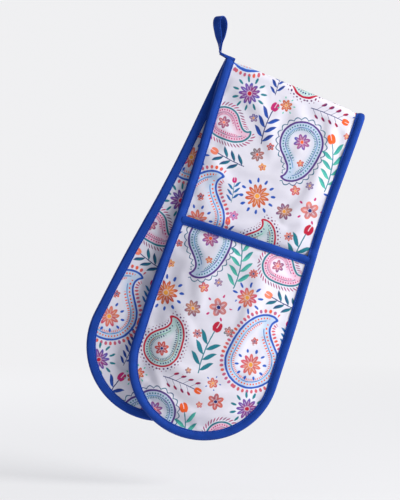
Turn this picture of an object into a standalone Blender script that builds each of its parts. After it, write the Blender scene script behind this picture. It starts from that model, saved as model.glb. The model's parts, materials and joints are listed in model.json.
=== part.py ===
"""Double oven glove: a padded cotton strip with a hand pocket at each end, folded across its middle.

The glove hangs by a loop of bias tape sewn to the middle of one long edge. It is modelled as it hangs: +Z is up,
+X is to the right for someone who looks at its front, and -Y points at them. The origin is the place inside the
top of the loop where a hook bears. Lengths are in metres and angles in degrees.

Every pad is worked out on the flat strip, by p along the strip from the fold, t across it and d in from its edge,
with a height above the plane between the two halves. fold_point then bends the strip over the fold.
"""

import math

import bmesh
import bpy
import numpy as np
from mathutils import Matrix, Vector

# Cut sizes of the strip, as it lies flat
GLOVE_WIDTH = 0.182
HALF_LENGTH = 0.443
POCKET_DEPTH = 0.254
WAIST_DRAW = 0.0034
WAIST_SPAN_SHARES = (0.02, 0.68)

# Cloth, filling and tape
CLOTH = 0.0007
WADDING = 0.0042
WADDING_AT_EDGE = 0.0015
POCKET_WADDING = 0.0030
POCKET_WADDING_AT_EDGE = 0.0012
TAPE = 0.0011
BINDING_FACE = 0.0115
BINDING_TURN = 0.0016
BINDING_NOSE = 0.0030
MOUTH_FACE = 0.0110
CLEARANCE = 0.0003

# Fullness of the pads: how far in from the binding each one swells
PUFF_RUN = 0.022
PUFF_KNEE = 0.009
HAND_SPACE = 0.0080
HAND_RUN = 0.055
MOUTH_EASE = 0.025
CREASE_DEPTH = 0.0012
CREASE_RISE = 0.030
CREASE_COUNT = 3

# The fold: its slope in the hanging glove, how far askew it lies, and how tight it is
FOLD_SLOPE = 22.75
FOLD_SKEW = 4.55
FACE_GAP = 0.0008
FOLD_SPREAD = 0.0015
FOLD_RUN = 0.050
CROWN_ANGLE = 90.0

# The loop: tape, its free height above the bend beside the binding, and its twist
LOOP_TAPE = 0.0013
LOOP_WIDTH = 0.0100
LOOP_SLIT = 0.0004
LOOP_STANDOFF = 0.0084
LOOP_STEM = 0.0100
LOOP_FLARE = 0.0240
LOOP_RADIUS = 0.0090
LOOP_BEVEL = 0.0006
LOOP_TWIST = 60.0
LOOP_TWIST_RISE = 0.0250
LOOP_SWING = 60.0

# How finely the curves are cut into facets
SIDE_ROWS = 6
POCKET_ROWS = 4
END_FACETS = 12
ARCH_FACETS = 2
NOSE_FACETS = 6
TAIL_FACETS = 6
FLARE_FACETS = 6
LOOP_FACETS = 8
KNUCKLE_FACETS = 4
WELD = 0.000001
SHARP_ANGLE = 40.0

# Worked out from the sizes above
SLOPE = math.radians(FOLD_SLOPE)
SKEW = math.radians(FOLD_SKEW)
HALF_CROWN = math.radians(CROWN_ANGLE) / 2
END_RADIUS = GLOVE_WIDTH / 2
END_CENTRE = HALF_LENGTH - END_RADIUS
MOUTH = HALF_LENGTH - POCKET_DEPTH
PAD_EDGE = BINDING_TURN + CLEARANCE
INNER_MIDDLE = FACE_GAP / 2
INNER_EDGE = CLEARANCE + TAPE + CLEARANCE
STACK_MIDDLE = CLOTH + CLEARANCE + WADDING + CLEARANCE + CLOTH
FOLD_INNER_RADIUS = INNER_MIDDLE + FOLD_SPREAD
FOLD_OUTER_RADIUS = FOLD_INNER_RADIUS + STACK_MIDDLE
FOLD_RADIUS = (FOLD_INNER_RADIUS + FOLD_OUTER_RADIUS) / 2
CROWN_HALF = FOLD_RADIUS * HALF_CROWN
ARCH_HALF = FOLD_RADIUS * math.pi / 2
MOUTH_SEAT = MOUTH + MOUTH_FACE + 2 * CLEARANCE + BINDING_TURN
MOUTH_LIFT = TAPE + CLEARANCE
TUCK_RUN = MOUTH_FACE
LOOP_STACK = 2 * LOOP_TAPE + LOOP_SLIT
LOOP_TOP = LOOP_STEM + LOOP_FLARE + LOOP_RADIUS
LOOP_INSIDE = LOOP_TOP - LOOP_TAPE / 2
LOOP_END_GAP = (LOOP_STACK / 2 + CLEARANCE) / math.cos(math.radians(LOOP_SWING - FOLD_SLOPE))
PAD_RINGS = (
    PAD_EDGE,
    BINDING_FACE,
    BINDING_FACE + PUFF_KNEE,
    BINDING_FACE + PUFF_RUN,
    BINDING_FACE + HAND_RUN,
    END_RADIUS,
)


def ease(x):
    """0 below 0, 1 above 1, and a smooth step between."""
    x = np.clip(x, 0, 1)
    return x * x * (3 - 2 * x)


def half_width(p):
    """Half the strip's width: full at the fold and the pockets, drawn in a little between them."""
    start, end = (share * HALF_LENGTH for share in WAIST_SPAN_SHARES)
    along = np.clip((np.asarray(p) - start) / (end - start), 0, 1)
    return END_RADIUS - WAIST_DRAW * np.sin(math.pi * along) ** 2


def side_rows():
    """Rows across one half, from the cut beside the fold to the middle of its round end: each is where it meets
    the centre line, and how much it leans. Rows lie along the fold there, and square to the strip at the mouth."""
    arch = np.linspace(CROWN_HALF, ARCH_HALF, ARCH_FACETS + 1) / math.cos(SKEW)
    upper = np.linspace(arch[-1], MOUTH - TUCK_RUN, SIDE_ROWS + 1)[1:]
    lean = [math.tan(SKEW)] * len(arch) + [math.tan(SKEW) * (1 - share) for share in shares(SIDE_ROWS)]
    lower = pocket_rows()[0]
    rows = np.concatenate([arch, upper, [MOUTH], lower[1:]])
    return rows, np.concatenate([lean, [0] * len(lower)])


def shares(count):
    """1/count, 2/count and so on, up to 1."""
    return [(step + 1) / count for step in range(count)]


def pocket_rows():
    """Rows across the pocket, from inside the mouth binding's turn to the middle of the round end."""
    eased = MOUTH_SEAT + MOUTH_EASE
    lower = np.linspace(eased, END_CENTRE, POCKET_ROWS + 1)
    rows = np.concatenate([[MOUTH + PAD_EDGE, MOUTH_SEAT], lower])
    return rows, np.zeros(len(rows))


def strip_grid(rows, distances):
    """Places on the strip along its edge, down one side, round the end and up the other, at each distance in."""
    start, lean = rows
    d = np.asarray(distances)[None, :]
    side = np.maximum(half_width(start)[:, None] - d, 0)
    row = start[:, None]
    slope = lean[:, None]
    left = (row - slope * side, -side)
    right = (row[::-1] + slope[::-1] * side[::-1], side[::-1])
    turn = np.linspace(0, math.pi, END_FACETS + 1)[1:-1, None]
    reach = np.maximum(END_RADIUS - d, 0)
    end = (END_CENTRE + reach * np.sin(turn), -reach * np.cos(turn))
    p, t = (np.concatenate(part) for part in zip(left, end, right))
    return p, t, np.broadcast_to(d, p.shape)


def creases(p, t):
    """Soft creases that fan out from the loop's corner, where the glove's weight hangs."""
    reach = np.hypot(p, t + END_RADIUS)
    fan = np.sin(CREASE_COUNT * np.arctan2(p, t + END_RADIUS)) ** 2
    rise = ease((reach - CREASE_RISE) / CREASE_RISE) * ease((p - ARCH_HALF) / CREASE_RISE)
    return CREASE_DEPTH * fan * rise * ease((MOUTH - TUCK_RUN - p) / CREASE_RISE)


def fold_spread(p, t):
    """How much further the layers lie from the middle plane near the fold."""
    run = p * math.cos(SKEW) - t * math.sin(SKEW)
    return FOLD_SPREAD * (1 - ease((np.abs(run) - ARCH_HALF) / FOLD_RUN))


def body_levels(p, t, d):
    """Heights of the strip's layers: the lower and upper face of the inner cloth, wadding and outer cloth."""
    full = ease((d - BINDING_FACE) / PUFF_RUN)
    inner = INNER_EDGE + (INNER_MIDDLE - INNER_EDGE) * full + fold_spread(p, t)
    wadding = WADDING_AT_EDGE + (WADDING - WADDING_AT_EDGE + creases(p, t)) * full
    lining_top = inner + CLOTH
    wadding_low = lining_top + CLEARANCE
    wadding_top = wadding_low + wadding
    cloth_low = wadding_top + CLEARANCE
    return inner, lining_top, wadding_low, wadding_top, cloth_low, cloth_low + CLOTH


def pocket_levels(p, t, d):
    """Heights of the pocket's layers, the same way. The pocket stands off the strip by the hand space. Near the
    mouth its edge is lifted, because the mouth binding turns in under it, and its wadding is pinched."""
    full = ease((d - BINDING_FACE) / PUFF_RUN) * ease((p - MOUTH_SEAT) / MOUTH_EASE)
    lift = MOUTH_LIFT * (1 - ease((p - MOUTH_SEAT) / MOUTH_EASE))
    stand = CLEARANCE + np.maximum(lift, HAND_SPACE * ease((d - BINDING_FACE) / HAND_RUN))
    low = body_levels(p, t, d)[-1] + stand
    wadding_low = low + CLOTH + CLEARANCE
    wadding_top = wadding_low + POCKET_WADDING_AT_EDGE + (POCKET_WADDING - POCKET_WADDING_AT_EDGE) * full
    cloth_low = wadding_top + CLEARANCE
    return low, low + CLOTH, wadding_low, wadding_top, cloth_low, cloth_low + CLOTH


def fold_point(p, t, height, slip=0.0):
    """Bends the strip over the fold: past the arch it hangs straight down, and over it a height is a radius.
    slip moves a place along the strip's run, as a gap beside a cut."""
    run = p * math.cos(SKEW) - t * math.sin(SKEW)
    across = p * math.sin(SKEW) + t * math.cos(SKEW)
    turn = np.clip(run / FOLD_RADIUS, -math.pi / 2, math.pi / 2)
    below = np.maximum(np.abs(run) - ARCH_HALF, 0)
    y = -height * np.sin(turn) - slip * np.cos(turn)
    z = height * np.cos(turn) - below - slip * np.sin(turn)
    return np.stack([across, y, z], axis=-1)


def solid(name, points, faces):
    """One closed body, its faces turned outwards."""
    mesh = bpy.data.meshes.new(name)
    mesh.from_pydata([tuple(point) for point in points], [], faces)
    shape = bmesh.new()
    shape.from_mesh(mesh)
    bmesh.ops.remove_doubles(shape, verts=shape.verts, dist=WELD)
    bmesh.ops.recalc_face_normals(shape, faces=shape.faces)
    shape.to_mesh(mesh)
    shape.free()
    mesh.shade_smooth()
    mesh.set_sharp_from_angle(angle=math.radians(SHARP_ANGLE))
    return mesh


def layer(name, low, high, open_middle):
    """A sheet of cloth or wadding between two grids of places. With open_middle the last column is an outer
    edge too, and otherwise it lies on the strip's centre line, where both sides of the sheet meet."""
    rows, columns = low.shape[:2]
    count = rows * columns
    points = np.concatenate([low.reshape(count, 3), high.reshape(count, 3)])
    corner = np.arange(count).reshape(rows, columns)
    faces = []
    for r in range(rows - 1):
        for c in range(columns - 1):
            a, b, e, f = corner[r, c], corner[r + 1, c], corner[r + 1, c + 1], corner[r, c + 1]
            faces += [(a, b, e), (a, e, f), (a + count, e + count, b + count), (a + count, f + count, e + count)]
    rims = [corner[:, 0]] + ([corner[:, -1]] if open_middle else [])
    for rim in rims + [corner[0, :], corner[-1, :]]:
        for a, b in zip(rim[:-1], rim[1:]):
            faces.append((a, b, b + count, a + count))
    return solid(name, points, faces)


def sweep(name, sections, ring):
    """A body with the same outline at each section of a path, closed by two caps or, as a ring, by itself."""
    steps, corners = sections.shape[:2]
    corner = np.arange(steps * corners).reshape(steps, corners)
    following = list(zip(corner[:-1], corner[1:])) + ([(corner[-1], corner[0])] if ring else [])
    faces = []
    for here, there in following:
        for c in range(corners):
            n = (c + 1) % corners
            faces.append((here[c], here[n], there[n], there[c]))
    if not ring:
        faces += [tuple(corner[0]), tuple(corner[-1])]
    return solid(name, sections.reshape(steps * corners, 3), faces)


def cut_slip(count):
    """A half's share of the gap beside the cut at the fold, taken at its first and last stations."""
    slip = np.zeros((count, 1))
    slip[[0, -1]] = CLEARANCE / 2
    return slip


def full_width(rings):
    """Distances in from the edge all the way across the strip, from its left edge to its centre line and on to
    its right edge, and the side on which each one lies."""
    rings = list(rings)
    d = np.array(rings + rings[-2::-1])
    side = np.array([-1] * len(rings) + [1] * (len(rings) - 1))
    return d, side


def half_layers(rows, levels):
    """The three sheets of one half, of its strip or of its pocket."""
    p, t, d = strip_grid(rows, PAD_RINGS)
    heights = levels(p, t, d)
    slip = cut_slip(len(p))
    for low, high in zip(heights[0::2], heights[1::2]):
        yield fold_point(p, t, low, slip), fold_point(p, t, high, slip)


def binding_outline(low, high):
    """Distances in from the edge and heights of a tape folded over an edge that lies between low and high:
    the outer face from the upper leg round the nose to the lower leg, then back along the inside."""
    turn = np.linspace(math.pi / 2, -math.pi / 2, NOSE_FACETS + 1)
    middle = (low + high)[:, None] / 2
    half = (high - low)[:, None] / 2 + CLEARANCE + TAPE
    inside = half - TAPE
    nose = BINDING_NOSE * (1 - np.cos(turn))
    distances = [BINDING_FACE, *nose, BINDING_FACE, BINDING_FACE, BINDING_TURN, BINDING_TURN, BINDING_FACE]
    shape = np.concatenate([[1], np.sin(turn), [-1]])[None, :] * half
    back = np.array([-1, -1, 1, 1])[None, :] * inside
    return np.array(distances), np.concatenate([middle + shape, middle + back], axis=1)


def edge_top(p, t):
    """Height of the topmost layer under the edge binding: the strip's own, or the pocket's below the mouth."""
    at_edge = np.full_like(p, PAD_EDGE)
    body = body_levels(p, t, at_edge)[-1]
    pocket = pocket_levels(p, t, at_edge)[-1]
    return body + (pocket - body) * ease((p - MOUTH + TUCK_RUN) / TUCK_RUN)


def edge_binding():
    """Tape folded round one half's edge, down one side, round the end and up the other."""
    rows = side_rows()
    p, t, _ = strip_grid(rows, [PAD_EDGE])
    low = body_levels(p, t, np.full_like(p, PAD_EDGE))[0]
    distances, heights = binding_outline(low[:, 0], edge_top(p, t)[:, 0])
    p, t, _ = strip_grid(rows, distances)
    return fold_point(p, t, heights, cut_slip(len(p)))


def mouth_binding():
    """Tape folded over the pocket's open edge, from one edge binding to the other."""
    d, side = full_width([BINDING_FACE + CLEARANCE, *PAD_RINGS[2:]])
    levels = pocket_levels(MOUTH_SEAT, side * np.maximum(half_width(MOUTH_SEAT) - d, 0), d)
    distances, heights = binding_outline(levels[0], levels[-1])
    p = np.broadcast_to(MOUTH + np.minimum(distances, MOUTH_FACE), heights.shape)
    t = side[:, None] * np.maximum(half_width(p) - d[:, None], 0)
    return fold_point(p, t, heights)


def crown_grid(distances, side):
    """Places on the strip over the fold, between the two cuts, at each distance in from the edge on its side, and
    the crown's share of the gap beside each cut."""
    run = np.linspace(-CROWN_HALF, CROWN_HALF, 2 * ARCH_FACETS + 1)[:, None]
    t = side * (END_RADIUS - np.asarray(distances)) + np.zeros_like(run)
    p = (run + t * math.sin(SKEW)) / math.cos(SKEW)
    slip = np.zeros_like(run)
    slip[0], slip[-1] = CLEARANCE / 2, -CLEARANCE / 2
    return p, t, slip


def crown_layers():
    """The three sheets over the fold."""
    d, side = full_width(PAD_RINGS)
    p, t, slip = crown_grid(d, side)
    heights = body_levels(p, t, np.broadcast_to(d, p.shape))
    for low, high in zip(heights[0::2], heights[1::2]):
        yield fold_point(p, t, low, slip), fold_point(p, t, high, slip)


def crown_binding(side):
    """Tape over the strip's edge where it crosses the fold."""
    p, t, _ = crown_grid([PAD_EDGE], side)
    levels = body_levels(p, t, np.full_like(p, PAD_EDGE))
    distances, heights = binding_outline(levels[0][:, 0], levels[-1][:, 0])
    p, t, slip = crown_grid(distances, side)
    return fold_point(p, t, heights, slip)


def loop_bend():
    """The loop's bend beside the binding, from the middle of the fold: along the fold, and up from its axis. It is
    level with the tail's upper face, so that the tail can swing up beside the loop."""
    across = -END_RADIUS / math.cos(SKEW) - LOOP_STANDOFF
    return across, FOLD_OUTER_RADIUS + CLEARANCE + LOOP_STACK


def tail_slab():
    """The loop's two ends, sewn down one on the other along the crown's binding. They follow the crown's curve
    there and flatten towards the bend."""
    bend, _ = loop_bend()
    start = (BINDING_FACE - END_RADIUS) / math.cos(SKEW)
    edge = (BINDING_NOSE - END_RADIUS) / math.cos(SKEW)
    stop = bend + LOOP_END_GAP
    across = np.array([start, (start + edge) / 2, edge, (edge + stop) / 2, stop])[:, None]
    y = np.linspace(-LOOP_WIDTH / 2, LOOP_WIDTH / 2, TAIL_FACETS + 1)[None, :]
    seat = FOLD_OUTER_RADIUS + CLEARANCE
    curved = 1 - ease((edge - across) / (edge - stop))
    low = seat + curved * (np.sqrt(seat**2 - y**2) - seat)
    return [np.stack(np.broadcast_arrays(across, y, z), axis=-1) for z in (low, low + LOOP_STACK)]


def loop_path():
    """The loop's middle line, from the foot of one side up, over the top and down, then round the bend."""
    foot = (LOOP_TAPE + LOOP_SLIT) / 2
    rise = np.array(shares(FLARE_FACETS))
    side_x = np.concatenate([[foot, foot], foot + (LOOP_RADIUS - foot) * ease(rise)])
    side_z = np.concatenate([[0, LOOP_STEM], LOOP_STEM + LOOP_FLARE * rise])
    top = np.linspace(0, math.pi, LOOP_FACETS + 1)[1:-1]
    bottom = np.linspace(math.pi, 2 * math.pi, KNUCKLE_FACETS + 1)[1:-1]
    x = np.concatenate([side_x, LOOP_RADIUS * np.cos(top), -side_x[::-1], foot * np.cos(bottom)])
    z = np.concatenate([side_z, side_z[-1] + LOOP_RADIUS * np.sin(top), side_z[::-1], foot * np.sin(bottom)])
    return x, z


def loop_sections():
    """The tape's outline at each place of the path, turned about the vertical the further up it lies."""
    x, z = loop_path()
    along = np.stack([np.roll(x, -1) - np.roll(x, 1), np.roll(z, -1) - np.roll(z, 1)])
    along /= np.linalg.norm(along, axis=0)
    outline = [(0, 1), (1 - LOOP_BEVEL / LOOP_WIDTH, 1), (1, 0), (1 - LOOP_BEVEL / LOOP_WIDTH, -1), (0, -1)]
    outline += [(LOOP_BEVEL / LOOP_WIDTH - 1, -1), (-1, 0), (LOOP_BEVEL / LOOP_WIDTH - 1, 1)]
    wide, thick = np.array(outline).T[:, None, :] * np.array([LOOP_WIDTH, LOOP_TAPE])[:, None, None] / 2
    px = x[:, None] + along[1][:, None] * thick
    pz = z[:, None] - along[0][:, None] * thick
    turn = math.radians(LOOP_TWIST) * ease(pz / LOOP_TWIST_RISE)
    return np.stack([px * np.cos(turn) - wide * np.sin(turn), px * np.sin(turn) + wide * np.cos(turn), pz], axis=-1)


def material(name, colour, roughness):
    """Plain cloth, tape or filling."""
    made = bpy.data.materials.new(name)
    made.use_nodes = True
    shader = made.node_tree.nodes["Principled BSDF"]
    shader.inputs["Base Color"].default_value = (*colour, 1.0)
    shader.inputs["Roughness"].default_value = roughness
    shader.inputs["Metallic"].default_value = 0.0
    made.diffuse_color = (*colour, 1.0)
    return made


def pivot(name, parent, location, turn_y=0.0, turn_z=0.0):
    """An empty on a joint's axis."""
    empty = bpy.data.objects.new(name, None)
    bpy.context.scene.collection.objects.link(empty)
    empty.parent = parent
    empty.location = location
    empty.rotation_euler = (0, turn_y, turn_z)
    return empty


def place(name, mesh, finish, parent, offset=(0, 0, 0)):
    """A piece under its joint's empty. Its mesh may be shared with the same piece of the other half."""
    piece = bpy.data.objects.new(name, mesh)
    if not mesh.materials:
        mesh.materials.append(finish)
    bpy.context.scene.collection.objects.link(piece)
    piece.parent = parent
    piece.location = offset
    return piece


def clear_scene():
    for old in list(bpy.data.objects):
        bpy.data.objects.remove(old, do_unlink=True)


def build():
    clear_scene()
    cotton = material("printed_cotton", (0.80, 0.79, 0.84), 0.9)
    plain = material("plain_lining", (0.85, 0.84, 0.84), 0.9)
    filling = material("wadding", (0.88, 0.87, 0.83), 1.0)
    tape = material("blue_binding", (0.035, 0.085, 0.42), 0.75)

    bend_across, bend_up = loop_bend()
    hook = pivot("hook_point", None, (0, 0, 0))
    swing = pivot("loop_swing_axis", hook, (0, 0, -LOOP_INSIDE))
    fold_offset = Matrix.Rotation(SLOPE, 3, "Y") @ Vector((-bend_across, 0, -bend_up))
    fold = pivot("fold_axis", swing, fold_offset, SLOPE)

    place("hanging_loop", sweep("hanging_loop", loop_sections(), True), tape, swing)
    place("loop_tail", layer("loop_tail", *tail_slab(), True), tape, fold)
    crown_names = ("fold_inner_cloth", "fold_wadding", "fold_outer_cloth")
    for name, finish, sheet in zip(crown_names, (cotton, filling, cotton), crown_layers()):
        place(name, layer(name, *sheet, True), finish, fold)
    for name, side in (("fold_left_binding", -1), ("fold_right_binding", 1)):
        place(name, sweep(name, crown_binding(side), False), tape, fold)

    sheets = {}
    strip_names = ("inner_cloth", "wadding", "outer_cloth")
    pocket_names = ("pocket_lining", "pocket_wadding", "pocket_cloth")
    for name, finish, sheet in zip(strip_names, (cotton, filling, cotton), half_layers(side_rows(), body_levels)):
        sheets[name] = (layer(name, *sheet, False), finish)
    for name, finish, sheet in zip(pocket_names, (plain, filling, cotton), half_layers(pocket_rows(), pocket_levels)):
        sheets[name] = (layer(name, *sheet, False), finish)
    sheets["edge_binding"] = (sweep("edge_binding", edge_binding(), False), tape)
    sheets["mouth_binding"] = (sweep("mouth_binding", mouth_binding(), False), tape)

    hinge = (0, -FOLD_OUTER_RADIUS * math.sin(HALF_CROWN), FOLD_OUTER_RADIUS * math.cos(HALF_CROWN))
    for half, turn in (("front", 0.0), ("back", math.pi)):
        side = pivot(f"{half}_side", fold, (0, 0, 0), 0.0, turn)
        axis = pivot(f"{half}_fold_axis", side, hinge)
        for name, (mesh, finish) in sheets.items():
            place(f"{half}_{name}", mesh, finish, axis, [-length for length in hinge])


build()
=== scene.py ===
"""Looks of the double oven glove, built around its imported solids.

Lengths are in metres. Every piece of one half is worked out on the flat strip, by p along it from the fold,
t across it and d in from its edge, with a height above the plane between the halves. It is then bent over the
fold.
"""

import json
import math

import bmesh
import bpy
import numpy as np
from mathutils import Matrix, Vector


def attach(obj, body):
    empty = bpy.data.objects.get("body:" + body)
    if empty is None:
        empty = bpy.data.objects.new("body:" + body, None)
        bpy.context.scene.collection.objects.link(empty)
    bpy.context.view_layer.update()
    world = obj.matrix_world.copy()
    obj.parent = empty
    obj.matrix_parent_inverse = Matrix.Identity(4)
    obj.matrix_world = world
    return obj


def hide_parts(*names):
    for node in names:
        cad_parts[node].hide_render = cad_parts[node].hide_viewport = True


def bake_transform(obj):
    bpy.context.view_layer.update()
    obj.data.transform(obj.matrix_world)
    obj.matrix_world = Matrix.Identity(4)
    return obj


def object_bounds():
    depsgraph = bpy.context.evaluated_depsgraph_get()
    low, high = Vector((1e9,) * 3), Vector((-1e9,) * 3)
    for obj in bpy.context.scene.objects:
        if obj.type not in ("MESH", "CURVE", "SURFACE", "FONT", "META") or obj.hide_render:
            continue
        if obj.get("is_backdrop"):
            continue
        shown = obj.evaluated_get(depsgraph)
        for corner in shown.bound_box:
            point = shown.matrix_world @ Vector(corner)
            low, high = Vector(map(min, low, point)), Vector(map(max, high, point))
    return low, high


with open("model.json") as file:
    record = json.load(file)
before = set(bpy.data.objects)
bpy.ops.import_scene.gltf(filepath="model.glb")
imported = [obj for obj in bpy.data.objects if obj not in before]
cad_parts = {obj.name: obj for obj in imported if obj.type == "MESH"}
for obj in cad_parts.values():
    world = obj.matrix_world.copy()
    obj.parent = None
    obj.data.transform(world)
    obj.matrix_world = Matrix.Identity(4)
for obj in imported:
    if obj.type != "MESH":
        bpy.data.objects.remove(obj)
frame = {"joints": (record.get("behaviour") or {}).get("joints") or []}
cad_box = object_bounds()

# The flat strip
# One long padded strip with round ends, folded across its middle, so the glove has two like halves. Its cut
# sizes are the pattern's; where it folds is read from the two fold joints.
GLOVE_WIDTH = 0.182
HALF_LENGTH = 0.443
POCKET_DEPTH = 0.254
WAIST_DRAW = 0.0034
WAIST_SPAN_SHARES = (0.02, 0.68)
FOLD_SKEW = math.radians(4.55)
FOLD_SPREAD = 0.0015
FOLD_RUN = 0.050
FOLD_LEAN_RUN = 0.150
END_RADIUS = GLOVE_WIDTH / 2
END_CENTRE = HALF_LENGTH - END_RADIUS
MOUTH = HALF_LENGTH - POCKET_DEPTH
SIDES = {"front": 1, "back": -1}

joints = {joint["name"]: joint for joint in frame["joints"]}
front_hinge, back_hinge = (np.array(joints[name]["pos_m"]) for name in ("front_fold", "back_fold"))
along_fold = -np.array(joints["front_fold"]["axis"])
across_glove = np.array([0.0, 1.0, 0.0])
up_from_fold = np.cross(along_fold, across_glove)
hinge_height = (back_hinge - front_hinge)[1] / 2
arch_centre = (front_hinge + back_hinge) / 2 - hinge_height * up_from_fold
fold_outer_radius = hinge_height * math.sqrt(2)


def ease(x):
    """0 below 0, 1 above 1, and a smooth step between."""
    x = np.clip(x, 0, 1)
    return x * x * (3 - 2 * x)


def half_width(p):
    """Half the strip's width: full at the fold and the pockets, drawn in a little between them."""
    start, end = (share * HALF_LENGTH for share in WAIST_SPAN_SHARES)
    along = np.clip((np.asarray(p) - start) / (end - start), 0, 1)
    return END_RADIUS - WAIST_DRAW * np.sin(math.pi * along) ** 2


def edge_distance(p, t):
    """How far in from the strip's edge a place lies."""
    past = np.maximum(p - END_CENTRE, 0)
    return np.where(p < END_CENTRE, half_width(p) - np.abs(t), END_RADIUS - np.hypot(past, t))


# Layers of the pad
# Printed cotton on both faces with wadding between, thin where the binding holds it and full 22 mm further
# in. The pocket is a second pad over the round end, which stands off the strip to leave room for a hand.
CLOTH = 0.0007
WADDING = 0.0042
WADDING_AT_EDGE = 0.0015
POCKET_WADDING = 0.0030
POCKET_WADDING_AT_EDGE = 0.0012
CLEARANCE = 0.0003
TAPE = 0.0011
FACE_GAP = 0.0008
BINDING_FACE = 0.0115
BINDING_NOSE = 0.0030
BINDING_TURN = 0.0016
MOUTH_FACE = 0.0110
PUFF_RUN = 0.022
HAND_SPACE = 0.0080
HAND_RUN = 0.055
MOUTH_EASE = 0.025
CREASE_DEPTH = 0.0016
CREASE_RISE = 0.030
CREASE_COUNT = 3
PAD_EDGE = BINDING_TURN + CLEARANCE
INNER_EDGE = CLEARANCE + TAPE + CLEARANCE
EDGE_STACK = 2 * (CLOTH + CLEARANCE) + WADDING_AT_EDGE
POCKET_EDGE_STACK = 2 * (CLOTH + CLEARANCE) + POCKET_WADDING_AT_EDGE
MOUTH_SEAT = MOUTH + MOUTH_FACE + 2 * CLEARANCE + BINDING_TURN
MOUTH_LIFT = TAPE + CLEARANCE
ARCH_HALF = (FACE_GAP / 2 + FOLD_SPREAD + fold_outer_radius) / 2 * math.pi / 2


def creases(p, t):
    """Soft creases that fan out from the loop's corner, where the glove's weight hangs."""
    reach = np.hypot(p, t + END_RADIUS)
    fan = np.sin(CREASE_COUNT * np.arctan2(p, t + END_RADIUS)) ** 2
    rise = ease((reach - CREASE_RISE) / CREASE_RISE) * ease((p - ARCH_HALF) / CREASE_RISE)
    return CREASE_DEPTH * fan * rise * ease((MOUTH - MOUTH_FACE - p) / CREASE_RISE)


def fullness(d):
    """0 under the binding and 1 where the pad is full."""
    return ease((d - BINDING_FACE) / PUFF_RUN)


def run_from_fold(p, t):
    """How far a place lies from the fold, square to it."""
    return p * math.cos(FOLD_SKEW) - t * math.sin(FOLD_SKEW)


def strip_faces(p, t, d):
    """Heights of the strip's inner and outer face."""
    full = fullness(d)
    spread = FOLD_SPREAD * (1 - ease((run_from_fold(p, t) - ARCH_HALF) / FOLD_RUN))
    inner = INNER_EDGE + (FACE_GAP / 2 - INNER_EDGE) * full + spread
    return inner, inner + EDGE_STACK + (WADDING - WADDING_AT_EDGE + creases(p, t)) * full


def pocket_faces(p, t, d):
    """Heights of the pocket's lining side and of its outer face, pinched under the mouth's binding."""
    past_mouth = ease((p - MOUTH_SEAT) / MOUTH_EASE)
    room = HAND_SPACE * ease((d - BINDING_FACE) / HAND_RUN)
    low = strip_faces(p, t, d)[1] + (CLEARANCE + np.maximum(MOUTH_LIFT * (1 - past_mouth), room))
    full = fullness(d) * past_mouth
    return low, low + POCKET_EDGE_STACK + (POCKET_WADDING - POCKET_WADDING_AT_EDGE) * full


def bend_over(half, p, t, height):
    """World places of strip places: straight down past the arch, and over it a height is a radius."""
    run = run_from_fold(p, t)
    across = SIDES[half] * (p * math.sin(FOLD_SKEW) + t * math.cos(FOLD_SKEW))
    turn = np.clip(run * math.pi / 2 / ARCH_HALF, 0, math.pi / 2)
    y = -SIDES[half] * height * np.sin(turn)
    z = height * np.cos(turn) - np.maximum(run - ARCH_HALF, 0)
    across, y, z = across[..., None], y[..., None], z[..., None]
    return arch_centre + across * along_fold + y * across_glove + z * up_from_fold


def follow_half(piece, half):
    """Bakes a piece's placement into its mesh, where it stays as built."""
    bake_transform(piece)


# The printed cotton
# Off-white plain weave, printed in the traditional way with paisleys, rosettes and leaf sprays that look
# painted by hand with a wet brush. Each motif's own coordinates are kept on the cloth, and its strokes are
# drawn from them.
PALETTE = {
    "navy": (0.010, 0.019, 0.140),
    "royal": (0.018, 0.088, 0.440),
    "sky": (0.160, 0.420, 0.660),
    "teal": (0.012, 0.180, 0.235),
    "mint": (0.090, 0.500, 0.370),
    "orange": (0.790, 0.105, 0.018),
    "coral": (0.820, 0.210, 0.120),
    "magenta": (0.500, 0.018, 0.150),
    "pink": (0.730, 0.160, 0.340),
    "crimson": (0.460, 0.010, 0.040),
    "purple": (0.085, 0.034, 0.215),
    "ochre": (0.820, 0.350, 0.050),
}
HUES = {name: (index + 0.5) / len(PALETTE) for index, name in enumerate(PALETTE)}
GROUND = (0.785, 0.765, 0.828)
# Painted shade: the ground is mottled towards this darker lilac in soft patches, standing in for the shade of
# folds in the cloth.
GROUND_PAINTED_SHADE = (0.600, 0.588, 0.680)
CELL_WIDTH = 0.183
CELL_HEIGHT = 0.216
BRUSH = 0.0011
BRUSH_GROWTH = 0.02
TRIM_STROKES = 5.5
PAISLEY_SPINE = 2.15
PAISLEY_CURL = math.radians(112)
PETAL_REACH = 1.10
RING_REACH = 1.62
CROWDED = 1.1
LEAF_SLANT = 0.85
LEAF_PITCH = 0.86
LEAF_BELLY = 0.245
SPRAY_AHEAD = 1.05
SPRAY_SPAN = 1.65
SPRAY_SIDE = 1.1
OUTLINE_COUNT = 90
CURL_POWER = 2.4
TAPER_POWER = 0.9
STEEPEST_TAPER = 0.999
PAISLEY_ROOM = 1.7
BLOOM_ROOM = 3
SPRAY_ROOM = 4
FAR = 9.0
COTTON_ROUGHNESS = 0.92
COTTON_SHEEN = 0.20
SHEEN_ROUGHNESS = 0.5
COTTON_SPECULAR = 0.25
WEAVE_PITCH = 0.00052
WEAVE_DEPTH = 0.00003
WEAVE_STRENGTH = 0.6
SLUB_DEPTH = 0.00006
SLUB_THREADS = 3
GROUND_CLOUD = 0.0300
POOL_SIZE = 0.0040
SHIFT_SIZE = 0.0100
WOBBLE_SIZE = 0.0060
WET_LEAST, WET_RANGE = 0.84, 0.42
SHIFT_RANGE, SHIFT_START = 2.4, 0.7
SPRAY_WOBBLE, PAISLEY_WOBBLE, BLOOM_WOBBLE = 0.10, 0.60, 0.14

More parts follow.
